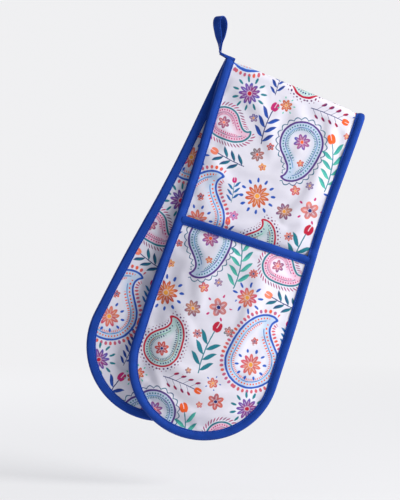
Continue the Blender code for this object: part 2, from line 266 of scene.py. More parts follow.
# Places are shares of the repeat, turns are in degrees and sizes in metres.
# Paisleys: place, turn, bulb radius, mirrored, edging (0 scallops, 1 dashes, 2 dots, 3 petals), line,
# edging and wash hues.
PAISLEYS = [
    ((0.247, 0.232), 16, 0.0315, False, 3, "royal", "orange", "sky"),
    ((0.742, 0.800), 197, 0.0255, False, 0, "purple", "teal", "sky"),
    ((0.663, 0.147), -28, 0.0215, True, 2, "crimson", "navy", "mint"),
    ((0.216, 0.778), 238, 0.0185, True, 1, "teal", "magenta", "pink"),
]
# Blooms: place, radius, petals, fill, ring (0 none, 1 dots, 2 strokes), petal, centre and ring hues.
BLOOMS = [
    ((0.247, 0.214), 0.0132, 10, 1.0, 1, "magenta", "ochre", "royal"),
    ((0.224, 0.345), 0.0046, 5, 1.0, 0, "orange", "navy", "navy"),
    ((0.742, 0.808), 0.0105, 8, 1.0, 0, "royal", "orange", "navy"),
    ((0.776, 0.692), 0.0045, 5, 1.0, 0, "crimson", "ochre", "navy"),
    ((0.663, 0.147), 0.0090, 7, 1.0, 0, "orange", "navy", "navy"),
    ((0.216, 0.778), 0.0078, 6, 1.0, 0, "purple", "coral", "navy"),
    ((0.574, 0.446), 0.0150, 12, 1.0, 1, "crimson", "ochre", "royal"),
    ((0.089, 0.560), 0.0125, 9, 1.0, 2, "magenta", "ochre", "royal"),
    ((0.932, 0.460), 0.0115, 5, 0.9, 1, "coral", "navy", "magenta"),
    ((0.774, 0.411), 0.0105, 8, 1.0, 0, "purple", "ochre", "navy"),
    ((0.316, 0.973), 0.0135, 11, 1.0, 2, "royal", "crimson", "teal"),
    ((0.105, 0.960), 0.0105, 6, 0.9, 0, "orange", "navy", "navy"),
    ((0.050, 0.054), 0.0068, 5, 1.0, 1, "magenta", "ochre", "royal"),
    ((0.489, 0.665), 0.0088, 7, 1.0, 0, "teal", "orange", "navy"),
    ((0.800, 0.540), 0.0066, 5, 1.0, 0, "magenta", "ochre", "navy"),
    ((0.853, 0.286), 0.0058, 7, 1.0, 0, "coral", "navy", "navy"),
    ((0.570, 0.973), 0.0075, 7, 1.0, 1, "crimson", "ochre", "mint"),
    ((0.042, 0.350), 0.0062, 6, 1.0, 0, "teal", "orange", "navy"),
    ((0.547, 0.607), 0.0050, 5, 1.0, 0, "ochre", "crimson", "navy"),
    ((0.079, 0.696), 0.0058, 9, 1.0, 0, "orange", "navy", "navy"),
    ((0.468, 0.302), 0.0060, 6, 1.0, 0, "pink", "royal", "navy"),
    ((0.392, 0.852), 0.0056, 5, 1.0, 0, "royal", "ochre", "navy"),
    ((0.556, 0.728), 0.0048, 5, 1.0, 0, "orange", "navy", "navy"),
    ((0.880, 0.590), 0.0054, 6, 1.0, 0, "royal", "ochre", "navy"),
    ((0.010, 0.915), 0.0042, 5, 1.0, 0, "magenta", "ochre", "navy"),
    ((0.872, 0.078), 0.0040, 5, 1.0, 0, "purple", "ochre", "navy"),
]
# Sprays: place, turn, curve to the left per metre, length, leaf length, leaf, stem and tip hues, berries.
SPRAYS = [
    ((0.479, 0.016), 91, 4.0, 0.046, 0.0088, "royal", "navy", "orange", 0),
    ((0.937, 0.098), 96, -7.0, 0.044, 0.0150, "teal", "teal", "crimson", 0),
    ((0.489, 0.742), 98, -9.0, 0.034, 0.0130, "royal", "navy", "magenta", 0),
    ((0.742, 0.004), 0, -4.0, 0.034, 0.0105, "crimson", "navy", "orange", 1),
    ((0.986, 0.600), 84, 10.0, 0.050, 0.0140, "mint", "teal", "orange", 0),
    ((0.416, 0.580), 174, -4.0, 0.028, 0.0115, "teal", "navy", "coral", 0),
    ((0.424, 0.375), 96, 5.0, 0.019, 0.0080, "royal", "teal", "magenta", 0),
]


def line_travel(points):
    """Distance along a line of places from its first one."""
    return np.concatenate([[0], np.cumsum(np.linalg.norm(np.diff(points, axis=0), axis=1))])


def paisley_outline():
    """Outline of a paisley with a bulb of radius 1: circles that shrink along a spine, which curls ever
    more towards the tip, and the line that touches them all. Gives the outline's points and the spine's
    circles."""
    s = np.linspace(0, 1, OUTLINE_COUNT)
    heading = math.pi / 2 - PAISLEY_CURL * s**CURL_POWER
    step = PAISLEY_SPINE / (OUTLINE_COUNT - 1)
    along = np.stack([np.cos(heading), np.sin(heading)], axis=1)
    spine = np.concatenate([[[0, 0]], np.cumsum(along[:-1] * step, axis=0)])
    radius = (1 - s) ** TAPER_POWER
    fall = np.gradient(radius, step).clip(-STEEPEST_TAPER, 0)
    across = np.stack([-along[:, 1], along[:, 0]], axis=1)
    lean = (radius * np.sqrt(1 - fall**2))[:, None]
    base = spine - (radius * fall)[:, None] * along
    left, right = base + lean * across, base - lean * across
    start = math.atan2(left[0, 1], left[0, 0])
    around = np.linspace(start, 3 * math.pi - start, OUTLINE_COUNT)[1:-1, None]
    bulb = np.concatenate([np.cos(around), np.sin(around)], axis=1)
    return np.concatenate([left[::-1], bulb, right]), spine, radius


def paisley_field(x, y, size):
    """Distance outside the outline, below zero within it, and along it from the tip, in metres."""
    points, spine, radius = (part * size for part in paisley_outline())
    tangent = np.gradient(points, axis=0)
    spacing = np.linalg.norm(tangent, axis=1)
    tangent /= spacing[:, None]
    arc = line_travel(points)
    place = np.stack([x, y], axis=1)
    nearest = np.argmin(((place[:, None] - points) ** 2).sum(2), axis=1)
    away = place - points[nearest]
    along = np.clip((away * tangent[nearest]).sum(1), -spacing[nearest] / 2, spacing[nearest] / 2)
    distance = np.sqrt(np.maximum((away**2).sum(1) - along**2, 0))
    inside = (np.linalg.norm(place[:, None] - spine, axis=2) - radius).min(1) < 0
    travel = arc[nearest] + along
    return np.where(inside, -distance, distance), np.minimum(travel, arc[-1] - travel)


def turned(x, y, place, degrees):
    """Coordinates seen from a motif's own place and direction."""
    angle = math.radians(degrees)
    dx, dy = x - place[0], y - place[1]
    return dx * math.cos(angle) + dy * math.sin(angle), dy * math.cos(angle) - dx * math.sin(angle)


def claim(fields, kind, chosen, reach, values):
    """Gives the chosen places that are better reached by this motif than by any before it the motif's
    values. Those within reach of both are left bare, so that no stroke runs from one motif into another."""
    best = fields[kind][chosen, 2]
    better = reach < best
    for name, columns in values.items():
        rows = np.stack(np.broadcast_arrays(*columns, reach)[:3], axis=-1)
        fields[name][chosen[better]] = rows[better]
    fields[kind][chosen[(best < CROWDED) & (reach < CROWDED)], 2] = FAR


def motif_places(x, y, motifs, reach):
    """Each repeat of a motif that comes near the cloth, with the cloth's places within its reach."""
    for motif in motifs:
        around = reach(motif)
        start = [motif[0][0] * CELL_WIDTH, motif[0][1] * CELL_HEIGHT]
        steps = []
        for values, first, cell in ((x, start[0], CELL_WIDTH), (y, start[1], CELL_HEIGHT)):
            low = math.ceil((values.min() - around - first) / cell)
            high = math.floor((values.max() + around - first) / cell)
            steps.append(range(low, high + 1))
        for column in steps[0]:
            for row in steps[1]:
                place = (start[0] + column * CELL_WIDTH, start[1] + row * CELL_HEIGHT)
                chosen = np.flatnonzero(np.hypot(x - place[0], y - place[1]) < around)
                if len(chosen):
                    yield motif, place, chosen


def print_fields(x, y):
    """Motif coordinates at each place of a cloth: for every kind of motif the nearest one's own
    coordinates, with its style and hues. Where no motif is near they are far away."""
    names = ("buta", "buta_style", "bloom", "bloom_style", "bloom_hues", "spray", "spray_style", "spray_top")
    fields = {name: np.zeros((len(x), 3)) for name in names}
    for name in ("buta", "bloom", "spray"):
        fields[name][:] = FAR
    for motif, place, chosen in motif_places(x, y, PAISLEYS, lambda m: (PAISLEY_SPINE + PAISLEY_ROOM) * m[2]):
        _, turn, size, mirrored, edge, line, trim, wash = motif
        stroke = BRUSH + BRUSH_GROWTH * size
        lx, ly = turned(x[chosen], y[chosen], place, turn)
        distance, travel = (field / stroke for field in paisley_field(-lx if mirrored else lx, ly, size))
        values = {"buta": (travel, HUES[wash]), "buta_style": (edge, HUES[line], HUES[trim])}
        claim(fields, "buta", chosen, distance / TRIM_STROKES, values)
    for motif, place, chosen in motif_places(x, y, BLOOMS, lambda m: BLOOM_ROOM * m[1]):
        _, size, petals, fill, ring, petal, centre, strokes = motif
        lx, ly = turned(x[chosen], y[chosen], place, size / BRUSH)
        values = {"bloom": (lx / size, ly / size), "bloom_style": (petals, fill, ring)}
        values["bloom_hues"] = (HUES[petal], HUES[centre], HUES[strokes])
        reach = np.hypot(lx, ly) / size / (RING_REACH if ring else PETAL_REACH)
        claim(fields, "bloom", chosen, reach, values)
    for motif, place, chosen in motif_places(x, y, SPRAYS, lambda m: m[3] + SPRAY_ROOM * m[4]):
        _, turn, curve, length, leaf, leaves, stem, tip, berries = motif
        lx, ly = turned(x[chosen], y[chosen], place, turn)
        ly = ly * math.copysign(1, curve)
        radius = 1 / abs(curve)
        along = radius * np.arctan2(lx, radius - ly)
        off = radius - np.hypot(lx, radius - ly)
        middle, half = (length + SPRAY_AHEAD * leaf) / 2, (length + SPRAY_SPAN * leaf) / 2
        reach = np.maximum(np.abs(off) / (SPRAY_SIDE * leaf), np.abs(along - middle) / half)
        values = {"spray": (along / leaf, off / leaf), "spray_top": (HUES[tip], berries, 0)}
        values["spray_style"] = (length / leaf, HUES[leaves], HUES[stem])
        claim(fields, "spray", chosen, reach, values)
    return fields


def arithmetic(operation):
    """A method that adds one Math node to the wire it is called on."""
    return lambda self, *others: self.maths(operation, self, *others)


class Wire:
    """One output of a shader node. Arithmetic on wires and numbers adds Math nodes."""

    __add__ = __radd__ = arithmetic("ADD")
    __mul__ = __rmul__ = arithmetic("MULTIPLY")
    __sub__ = arithmetic("SUBTRACT")
    __truediv__ = arithmetic("DIVIDE")
    __abs__ = arithmetic("ABSOLUTE")
    __lt__ = arithmetic("LESS_THAN")
    __gt__ = arithmetic("GREATER_THAN")
    most = arithmetic("MAXIMUM")
    least = arithmetic("MINIMUM")
    sin = arithmetic("SINE")
    cos = arithmetic("COSINE")

    def __init__(self, tree, output=None):
        self.tree, self.output = tree, output

    def __rsub__(self, other):
        return self.maths("SUBTRACT", other, self)

    def node(self, kind, inputs, out=0, stops=(), **settings):
        """A node: its settings and a ramp's stops are set first, then its inputs by name or number."""
        made = self.tree.nodes.new(kind)
        for name, value in settings.items():
            setattr(made, name, value)
        for index, (place, colour) in enumerate(stops):
            ramp = made.color_ramp
            ramp.interpolation = "CONSTANT"
            element = ramp.elements[index] if index < 2 else ramp.elements.new(place)
            element.position, element.color = place, (*colour, 1)
        for name, value in inputs.items():
            if isinstance(value, Wire):
                self.tree.links.new(value.output, made.inputs[name])
            else:
                made.inputs[name].default_value = value
        return Wire(self.tree, made.outputs[out])

    def maths(self, operation, *values):
        """A Math node of the given operation."""
        return self.node("ShaderNodeMath", dict(enumerate(values)), operation=operation)

    def within(self, limit, soft):
        """1 where this is below the limit, falling to 0 over a soft edge."""
        inputs = {0: (limit - self) / soft, 1: 0.5}
        return self.node("ShaderNodeMath", inputs, operation="ADD", use_clamp=True)

    def parts(self):
        """The three numbers of a vector."""
        split = self.node("ShaderNodeSeparateXYZ", {"Vector": self}).output.node
        return [Wire(self.tree, output) for output in split.outputs]

    def mix(self, low, high):
        """A colour between two colours, by this number from 0 to 1."""
        low, high = ((*c, 1) if isinstance(c, tuple) else c for c in (low, high))
        return self.node("ShaderNodeMix", {0: self, 6: low, 7: high}, out=2, data_type="RGBA")


def span(x, y):
    """Distance of a point from the origin."""
    squared = x * x + y * y
    return squared.maths("SQRT", squared)


def repeat(value, pitch):
    """Distance from the middle of the pitch that a value falls in."""
    return (value.maths("FLOORED_MODULO", value / pitch, 1.0) - 0.5) * pitch


def attribute(wire, name):
    """A per-point vector of the mesh."""
    return wire.node("ShaderNodeAttribute", {}, out=1, attribute_name=name)


def hue(place):
    """A palette colour by its place on the palette."""
    stops = [(index / len(PALETTE), colour) for index, colour in enumerate(PALETTE.values())]
    return place.node("ShaderNodeValToRGB", {"Fac": place}, stops=stops)


def noise(vector, size, detail=2.0):
    """Noise from 0 to 1 whose patches have about the given size."""
    return vector.node("ShaderNodeTexNoise", {"Vector": vector, "Scale": 1 / size, "Detail": detail})


def new_material(name, roughness, sheen):
    """A Principled cloth material, with the wire that starts its expressions and its shader's inputs."""
    made = bpy.data.materials.new(name)
    made.use_nodes = True
    shader = made.node_tree.nodes["Principled BSDF"]
    shader.inputs["Roughness"].default_value = roughness
    shader.inputs["Sheen Weight"].default_value = sheen
    shader.inputs["Sheen Roughness"].default_value = SHEEN_ROUGHNESS
    shader.inputs["Specular IOR Level"].default_value = COTTON_SPECULAR
    return made, Wire(made.node_tree), shader.inputs


def set_finish(sockets, colour, height, strength):
    """Joins a colour, and a height in metres as bump, to the shader."""
    bump = height.node("ShaderNodeBump", {"Strength": strength, "Distance": 1.0, "Height": height})
    colour.tree.links.new(colour.output, sockets["Base Color"])
    bump.tree.links.new(bump.output, sockets["Normal"])


def plain_weave(cloth, pitch):
    """Height of a plain weave with slubs, in metres: warp and weft cross over and under by turns."""
    x, y, _ = cloth.parts()
    warp, weft = (x * (math.pi / pitch)).sin(), (y * (math.pi / pitch)).sin()
    crossing = (warp * weft + abs(warp) - abs(weft)) / 2
    return crossing * WEAVE_DEPTH + noise(cloth, SLUB_THREADS * pitch) * SLUB_DEPTH


# Shares of a leaf's length: half width and soft edge of stem, stalk and bud seam, then places and sizes,
# and last how far a leaf's two hues mix.
STEM_SHARES = (0.045, 0.035)
STALK_SHARES = (0.028, 0.030)
STEM_BEFORE, STEM_BEYOND = 0.25, 0.55
BERRY_OUT, BERRY_RADIUS, STALK_OUT = 0.78, 0.20, 0.6
BUD_BEYOND, BUD_LENGTH, BUD_WIDTH, BUD_SPREAD = 0.80, 0.42, 0.24, 0.12
BUD_SEAM_SHARES = (0.03, 0.04)
LEAF_EDGE, BERRY_EDGE, BUD_EDGE = 0.05, 0.06, 0.15
ROW_FROM, LEAF_TIP, SEAM_BEFORE = 0.1, 0.01, 0.1
LEAF_SHIFT, LEAF_TWO_TONE = 0.5, 0.35


def paint_sprays(colour, wire, wet, shift, wobble):
    """Leaf and berry sprays. s runs along the stem and n to its left, both in leaf lengths, and the leaves
    stand in two staggered rows that lean forwards."""
    s, n, reach = attribute(wire, "spray").parts()
    stem_length, leaf_hue, stem_hue = attribute(wire, "spray_style").parts()
    tip_hue, berries, _ = attribute(wire, "spray_top").parts()
    near = reach < 1.0
    off = abs(n + wobble)
    place = s - off * LEAF_SLANT + (n > 0.0) * (LEAF_PITCH / 2)
    slot = repeat(place, LEAF_PITCH)
    middle = place - slot
    row = (middle > ROW_FROM) * (middle < stem_length) * near
    belly = (off * math.pi).sin() * LEAF_BELLY
    leaf = (abs(slot) - belly).within(0.0, LEAF_EDGE) * (off < 1.0) * (belly > LEAF_TIP)
    berry = span(slot, off - BERRY_OUT).within(BERRY_RADIUS, BERRY_EDGE)
    stalk = abs(slot).within(*STALK_SHARES) * (off < STALK_OUT)
    leaf_paint = (shift * LEAF_SHIFT + (slot > 0.0) * LEAF_TWO_TONE).mix(hue(leaf_hue), hue(stem_hue))
    colour = (((1 - berries) * leaf + berries * berry) * row * wet).mix(colour, leaf_paint)
    stem = off.within(*STEM_SHARES) * (s > -STEM_BEFORE) * (s < stem_length + STEM_BEYOND)
    colour = (stem.most(stalk * berries * row) * near * wet).mix(colour, hue(stem_hue))
    ahead = s - stem_length - BUD_BEYOND
    bud = span(ahead / BUD_LENGTH, (off - BUD_SPREAD) / BUD_WIDTH)
    petals = bud.within(1.0, BUD_EDGE) * (1 - off.within(*BUD_SEAM_SHARES) * (ahead > -SEAM_BEFORE))
    return (petals * near * wet).mix(colour, hue(tip_hue))


# In brush strokes: the outline's half width and the soft edges, then how far in or out each row lies, with
# its size, its pitch along the outline and how far from the tip it starts. TRIM_SHIFT and WASH_SHARE are
# shares of a hue.
OUTLINE_HALF, STROKE_EDGE, BEAD_EDGE, HATCH_EDGE = 0.72, 0.25, 0.2, 0.3
BEADS_IN, BEAD_RADIUS, BEAD_PITCH, BEADS_FROM = 2.3, 0.62, 2.4, 6.0
INNER_IN, INNER_HALF, INNER_FROM = 4.1, 0.36, 8.5
HATCH_IN, HATCH_HALF, HATCH_WIDTH, HATCH_PITCH, HATCH_FROM = 5.5, 0.75, 0.40, 1.9, 12.5
SCALLOP_OUT, SCALLOP_RISE, SCALLOP_HALF, SCALLOP_PITCH = 1.5, 1.9, 0.42, 5.0
DASH_OUT, DASH_HALF, DASH_WIDTH, DASH_PITCH, DASH_LEAN = 3.0, 1.6, 0.55, 2.3, 0.7
DOTS_OUT, DOT_RADIUS, DOT_PITCH, SMALL_DOTS_OUT, SMALL_DOT_RADIUS = 2.2, 0.66, 2.8, 4.0, 0.34
DROPS_OUT, DROP_HALF, DROP_WIDTH = 2.7, 1.35, 0.85
TRIM_OUT, TRIM_FROM, TRIM_SHIFT = 0.7, 1.5, 0.6
WASH_IN, WASH_EDGE, PALE_IN, PALE_EDGE, WASH_SHARE = 0.6, 0.5, 6.5, 5.0, 0.42


def paint_paisleys(colour, wire, wet, shift, wobble):
    """Paisleys. d is the distance outside the outline and u that along it from the tip, both in brush
    strokes: a wash within that fades inwards, a row of beads, a line and hatching along the outline, and
    one of four kinds of edging round it."""
    u, wash_hue, reach = attribute(wire, "buta").parts()
    edge, line_hue, trim_hue = attribute(wire, "buta_style").parts()
    d = reach * TRIM_STROKES + wobble
    line, trim_paint = hue(line_hue), (shift * TRIM_SHIFT).mix(hue(trim_hue), hue(line_hue))
    wash = d.within(-WASH_IN, WASH_EDGE) * (1 - d.within(-PALE_IN, PALE_EDGE))
    colour = (wash * wet * WASH_SHARE).mix(colour, hue(wash_hue))
    beads = span(repeat(u, BEAD_PITCH), d + BEADS_IN).within(BEAD_RADIUS, BEAD_EDGE) * (u > BEADS_FROM)
    bars = abs(repeat(u, HATCH_PITCH)).within(HATCH_WIDTH, STROKE_EDGE)
    hatch = bars * abs(d + HATCH_IN).within(HATCH_HALF, HATCH_EDGE) * (u > HATCH_FROM)
    inner = abs(d + INNER_IN).within(INNER_HALF, STROKE_EDGE) * (u > INNER_FROM)
    colour = (beads.most(hatch) * wet).mix(colour, hue(trim_hue))
    colour = (inner * wet).mix(colour, shift.mix(hue(wash_hue), line))
    arches = SCALLOP_RISE * abs((u * (math.pi / SCALLOP_PITCH)).cos())
    scallop = abs(d - SCALLOP_OUT - arches).within(SCALLOP_HALF, STROKE_EDGE)
    lean = repeat(u + d * DASH_LEAN, DASH_PITCH)
    dash = span(lean / DASH_WIDTH, (d - DASH_OUT) / DASH_HALF).within(1.0, STROKE_EDGE)
    small_dots = span(repeat(u + DOT_PITCH / 2, DOT_PITCH), d - SMALL_DOTS_OUT)
    large_dots = span(repeat(u, DOT_PITCH), d - DOTS_OUT).within(DOT_RADIUS, STROKE_EDGE)
    dots = large_dots.most(small_dots.within(SMALL_DOT_RADIUS, BEAD_EDGE))
    drops = span(repeat(u, DOT_PITCH) / DROP_WIDTH, (d - DROPS_OUT) / DROP_HALF).within(1.0, STROKE_EDGE)
    kinds = [scallop, dash, dots, drops]
    trim = sum(mask * (abs(edge - kind) < 0.5) for kind, mask in enumerate(kinds))
    colour = (trim * (d > TRIM_OUT) * (u > TRIM_FROM) * wet).mix(colour, trim_paint)
    return (abs(d).within(OUTLINE_HALF, STROKE_EDGE) * wet).mix(colour, line)


# Shares of a petal's length: places, half lengths, widths and soft edges of petals, veins and ring
# strokes, and last how far a petal's two hues mix.
PETAL_OUT, PETAL_HALF, PETAL_WIDTH = 0.60, 0.37, 1.75
PETAL_RIM, RIM_HALF = 0.86, 0.13
VEIN_OUT, VEIN_HALF, VEIN_WIDTH, VEIN_SHARE = 0.50, 0.22, 0.40, 0.45
EYE_RADIUS = 0.20
PETAL_EDGE, RIM_EDGE, VEIN_EDGE, EYE_EDGE = 0.14, 0.10, 0.3, 0.06
RING_OUT, RING_WIDTH, DOT_HALF, STROKE_GROWTH = 1.28, 0.105, 0.10, 0.09
BLUSH_SHIFT, BLUSH_IN = 0.45, 0.35


def paint_blooms(colour, wire, wet, shift, wobble):
    """Rosettes. x and y are in petal lengths, each petal is an oval round the middle, filled or only
    outlined, and dots or strokes may stand round them between the petals."""
    x, y, reach = attribute(wire, "bloom").parts()
    petals, fill, ring = attribute(wire, "bloom_style").parts()
    petal_hue, centre_hue, ring_hue = attribute(wire, "bloom_hues").parts()
    near = reach < 1.0
    x, y = x + wobble, y - wobble
    radius = span(x, y)
    share = x.maths("ARCTAN2", y, x) * petals / math.tau
    spacing = radius * math.tau / petals
    beside, between = repeat(share, 1.0) * spacing, repeat(share + 0.5, 1.0) * spacing
    petal = span((radius - PETAL_OUT) / PETAL_HALF, beside * petals / PETAL_WIDTH)
    rim = abs(petal - PETAL_RIM).within(RIM_HALF, RIM_EDGE)
    painted = (petal.within(1.0, PETAL_EDGE) * fill).most(rim)
    vein = span((radius - VEIN_OUT) / VEIN_HALF, beside * petals / VEIN_WIDTH).within(1.0, VEIN_EDGE)
    blush = (shift * BLUSH_SHIFT + (1 - radius) * BLUSH_IN).mix(hue(petal_hue), hue(centre_hue))
    colour = (painted * (1 - vein * VEIN_SHARE) * near * wet).mix(colour, blush)
    colour = (radius.within(EYE_RADIUS, EYE_EDGE) * near * wet).mix(colour, hue(centre_hue))
    stroke = span((radius - RING_OUT) / (ring * STROKE_GROWTH + DOT_HALF), between / RING_WIDTH)
    stroke = stroke.within(1.0, STROKE_EDGE)
    return (stroke * (ring > 0.5) * near * wet).mix(colour, hue(ring_hue))


def printed_cotton():
    """The ground with its motifs. The ground is mottled with a painted shade that stands in for the soft
    shade of folds in the cloth. wet is how strongly the paint lies, which pools in places, shift drifts a
    stroke from one hue towards the next, and wobble is the hand's unsteadiness."""
    made, wire, sockets = new_material("printed_cotton", COTTON_ROUGHNESS, COTTON_SHEEN)
    cloth = attribute(wire, "cloth")
    wet = (WET_LEAST + WET_RANGE * noise(cloth, POOL_SIZE, 3.0)).least(1.0)
    shift = (noise(cloth, SHIFT_SIZE, 1.0) * SHIFT_RANGE - SHIFT_START).most(0.0).least(1.0)
    wobble = noise(cloth, WOBBLE_SIZE) - 0.5
    # Painted shade: soft patches of darker lilac over the off-white ground stand in for the shade of folds.
    colour = noise(cloth, GROUND_CLOUD, 4.0).mix(GROUND_PAINTED_SHADE, GROUND)
    colour = paint_sprays(colour, wire, wet, shift, wobble * SPRAY_WOBBLE)
    colour = paint_paisleys(colour, wire, wet, shift, wobble * PAISLEY_WOBBLE)
    colour = paint_blooms(colour, wire, wet, shift, wobble * BLOOM_WOBBLE)
    set_finish(sockets, colour, plain_weave(cloth, WEAVE_PITCH), WEAVE_STRENGTH)
    return made


# How the cloth lies
# The cotton is cut a little larger than the wadding under it, so it settles on it in soft folds that start
# at the binding. Blender's cloth finds them on the flat strip, pinned under the binding and pulled down by
# its weight.
GRID = 0.0016
DRAPE_GRID = 0.0032
DRAPE_SCALE = 10.0
DRAPE_FRAMES = 20
SPARE_SHARE = 0.008
CLOTH_GAP = 0.0004
BED_DROP = 3 * CLOTH_GAP
START_GAP = 0.0006
START_SIZE = 0.014
WEIGHT_PULL = 2.6
PRESS_PULL = 3.0
LIFT_CAP = 0.0021
PUCKER_DEPTH = 0.00060
PUCKER_SIZE = 0.0085
PUCKER_RUN = 0.020
PUCKER_SLANT = 3
PUCKER_STRETCH = 5
CLOTH_MASS = 0.15
STRETCH_STIFFNESS = 25.0
BEND_STIFFNESS = 8.0
BED_FRICTION = 8.0
AIR_DAMPING = 2.0
CLOTH_STEPS = 6
COLLISION_STEPS = 3
CREST_ROWS = 14
CREST_CROWDING = 1.5
LATTICE = 64


def new_object(name, data):
    """An object with the given data, put in the scene."""
    made = bpy.data.objects.new(name, data)
    bpy.context.scene.collection.objects.link(made)
    return made


def grid_faces(rows, columns):
    """Faces of a grid of points, row by row."""
    index = np.arange(rows * columns).reshape(rows, columns)
    return np.stack([index[:-1, :-1], index[1:, :-1], index[1:, 1:], index[:-1, 1:]], axis=-1).reshape(-1, 4)


def soft_noise(x, y, size, seed):
    """Smooth noise from -1 to 1: seeded values on a lattice of the given size, joined by cubic steps."""
    values = np.random.default_rng(seed).uniform(-1, 1, (LATTICE, LATTICE))
    column, row = np.floor(x / size).astype(int), np.floor(y / size).astype(int)
    fx, fy = ease(x / size - column), ease(y / size - row)
    corner = lambda i, j: values[(column + i) % LATTICE, (row + j) % LATTICE]
    low = corner(0, 0) * (1 - fx) + corner(1, 0) * fx
    high = corner(0, 1) * (1 - fx) + corner(1, 1) * fx
    return low * (1 - fy) + high * fy


def row_places(row, share, edge):
    """p and t of places on rows across the strip, by their share of the way from its middle to its edge
    less an inset. The rows lean with the fold where they are near it."""
    lean = math.tan(FOLD_SKEW) * np.maximum(1 - row / FOLD_LEAN_RUN, 0)
    p = row + lean * share * (half_width(row) - edge)
    return p, share * (half_width(p) - edge)


def half_grid(rows, edge, step, round_end=True):
    """Places p and t of a grid over a pad: rows across it down to the round end's centre, then the grid of
    a square drawn over the half disc, x and y each shortened by the root of 1 less half the other's square.
    Also the grid's own row and column scales."""
    across = np.linspace(-1, 1, 2 * round(END_RADIUS / step) + 1)
    column = across[None, :]
    p, t = row_places(rows[:, None], column, edge)
    if not round_end:
        return p, t, rows, across
    down = np.linspace(0, 1, round(END_RADIUS / step) + 1)[1:, None]
    radius = END_RADIUS - edge
    end_t = radius * column * np.sqrt(1 - down**2 / 2)
    end_p = END_CENTRE + radius * down * np.sqrt(1 - column**2 / 2)
    scale = np.concatenate([rows, END_CENTRE + radius * down[:, 0]])
    return np.concatenate([p, end_p]), np.concatenate([t, end_t]), scale, across


def even_rows(start, stop, step):
    """Even places from start to stop, about a step apart."""
    return np.linspace(start, stop, round((stop - start) / step))


def pull_on(half):
    """The weight's pull on one hanging half, across the strip and along it."""
    down = np.array([0.0, 0.0, -WEIGHT_PULL])
    across = SIDES[half] * math.cos(FOLD_SKEW) * along_fold + math.sin(FOLD_SKEW) * up_from_fold
    along = SIDES[half] * math.sin(FOLD_SKEW) * along_fold - math.cos(FOLD_SKEW) * up_from_fold
    return down.dot(across), down.dot(along)


def settled(p, t, height, pull, seed):
    """How far the cloth over a pad lifts off it once it has settled. It is worked out ten times larger,
    because the solver suits large scenes, with the pad as a firm bed."""
    rows, columns = p.shape
    bed_points = np.stack([t, p, height], axis=-1)
    held = edge_distance(p, t) < BINDING_FACE
    held[0], held[-1] = True, True
    start = bed_points.copy()
    start[..., 2] += np.where(held, 0, START_GAP * (1 + soft_noise(t, p, START_SIZE, seed)))
    objects = []
    for shape in (start, bed_points - (0, 0, BED_DROP)):
        mesh = bpy.data.meshes.new("drape")
        quads = grid_faces(rows, columns)[:, ::-1]
        mesh.from_pydata((shape * DRAPE_SCALE).reshape(-1, 3).tolist(), [], quads.tolist())
        objects.append(new_object("drape", mesh))
    cloth, bed = objects
    bed.modifiers.new("bed", "COLLISION")
    bed.collision.thickness_outer = CLOTH_GAP * DRAPE_SCALE
    bed.collision.cloth_friction = BED_FRICTION
    group = cloth.vertex_groups.new(name="held")
    group.add(np.flatnonzero(held).tolist(), 1.0, "REPLACE")
    drape = cloth.modifiers.new("drape", "CLOTH")
    settings = drape.settings
    settings.quality = CLOTH_STEPS
    settings.mass = CLOTH_MASS
    settings.vertex_group_mass = "held"
    settings.tension_stiffness = settings.compression_stiffness = STRETCH_STIFFNESS
    settings.shear_stiffness = settings.bending_stiffness = BEND_STIFFNESS
    settings.shrink_min = -SPARE_SHARE
    settings.air_damping = AIR_DAMPING
    drape.collision_settings.collision_quality = COLLISION_STEPS
    drape.collision_settings.distance_min = CLOTH_GAP * DRAPE_SCALE
    scene = bpy.context.scene
    scene.gravity = (*pull, -PRESS_PULL)
    drape.point_cache.frame_start, drape.point_cache.frame_end = 1, DRAPE_FRAMES
    for step in range(1, DRAPE_FRAMES + 1):
        scene.frame_set(step)
    found = np.empty(3 * rows * columns, dtype=np.float32)
    cloth.evaluated_get(bpy.context.evaluated_depsgraph_get()).data.vertices.foreach_get("co", found)
    for made in objects:
        bpy.data.objects.remove(made, do_unlink=True)
    scene.frame_set(1)
    return found.reshape(rows, columns, 3)[..., 2] / DRAPE_SCALE - height


def on_finer_grid(values, rows, columns, new_rows, new_columns):
    """A grid's values at the places of a finer one, smoothed a little."""
    across = np.stack([np.interp(new_columns, columns, line) for line in values])
    fine = np.stack([np.interp(new_rows, rows, line) for line in across.T], axis=1)
    for _ in range(2):
        padded = np.pad(fine, 1, mode="edge")
        fine = (padded[:-2] + 2 * padded[1:-1] + padded[2:]) / 4
        fine = (fine[:, :-2] + 2 * fine[:, 1:-1] + fine[:, 2:]) / 4
    return fine


def folds(half, faces, free, round_end, scales, seed):
    """Settled folds of one face of a pad on its fine grid, rounded off where they would rise too far. faces
    gives the pad's heights, and free is the stretch of the strip over which the cloth isn't held."""
    p, t, *coarse = half_grid(even_rows(*free, DRAPE_GRID), PAD_EDGE, DRAPE_GRID, round_end)
    lift = settled(p, t, faces(p, t, edge_distance(p, t))[1], pull_on(half), seed)
    return LIFT_CAP * np.tanh(on_finer_grid(lift, *coarse, *scales) / LIFT_CAP)


def puckers(p, t, seed):
    """Short puckers that run in from the binding, where the cloth is eased into the seam."""
    d = edge_distance(p, t)
    round_end = END_CENTRE + END_RADIUS * np.arctan2(p - END_CENTRE, -t)
    straight = np.where(t < 0, p, 2 * END_CENTRE + math.pi * END_RADIUS - p)
    along = np.where(p > END_CENTRE, round_end, straight)
    ripple = soft_noise(along + d / PUCKER_SLANT, d / PUCKER_STRETCH, PUCKER_SIZE, seed)
    near = ease((d - BINDING_FACE) / BINDING_NOSE) * (1 - ease((d - BINDING_FACE) / PUCKER_RUN))
    return PUCKER_DEPTH * ripple * near


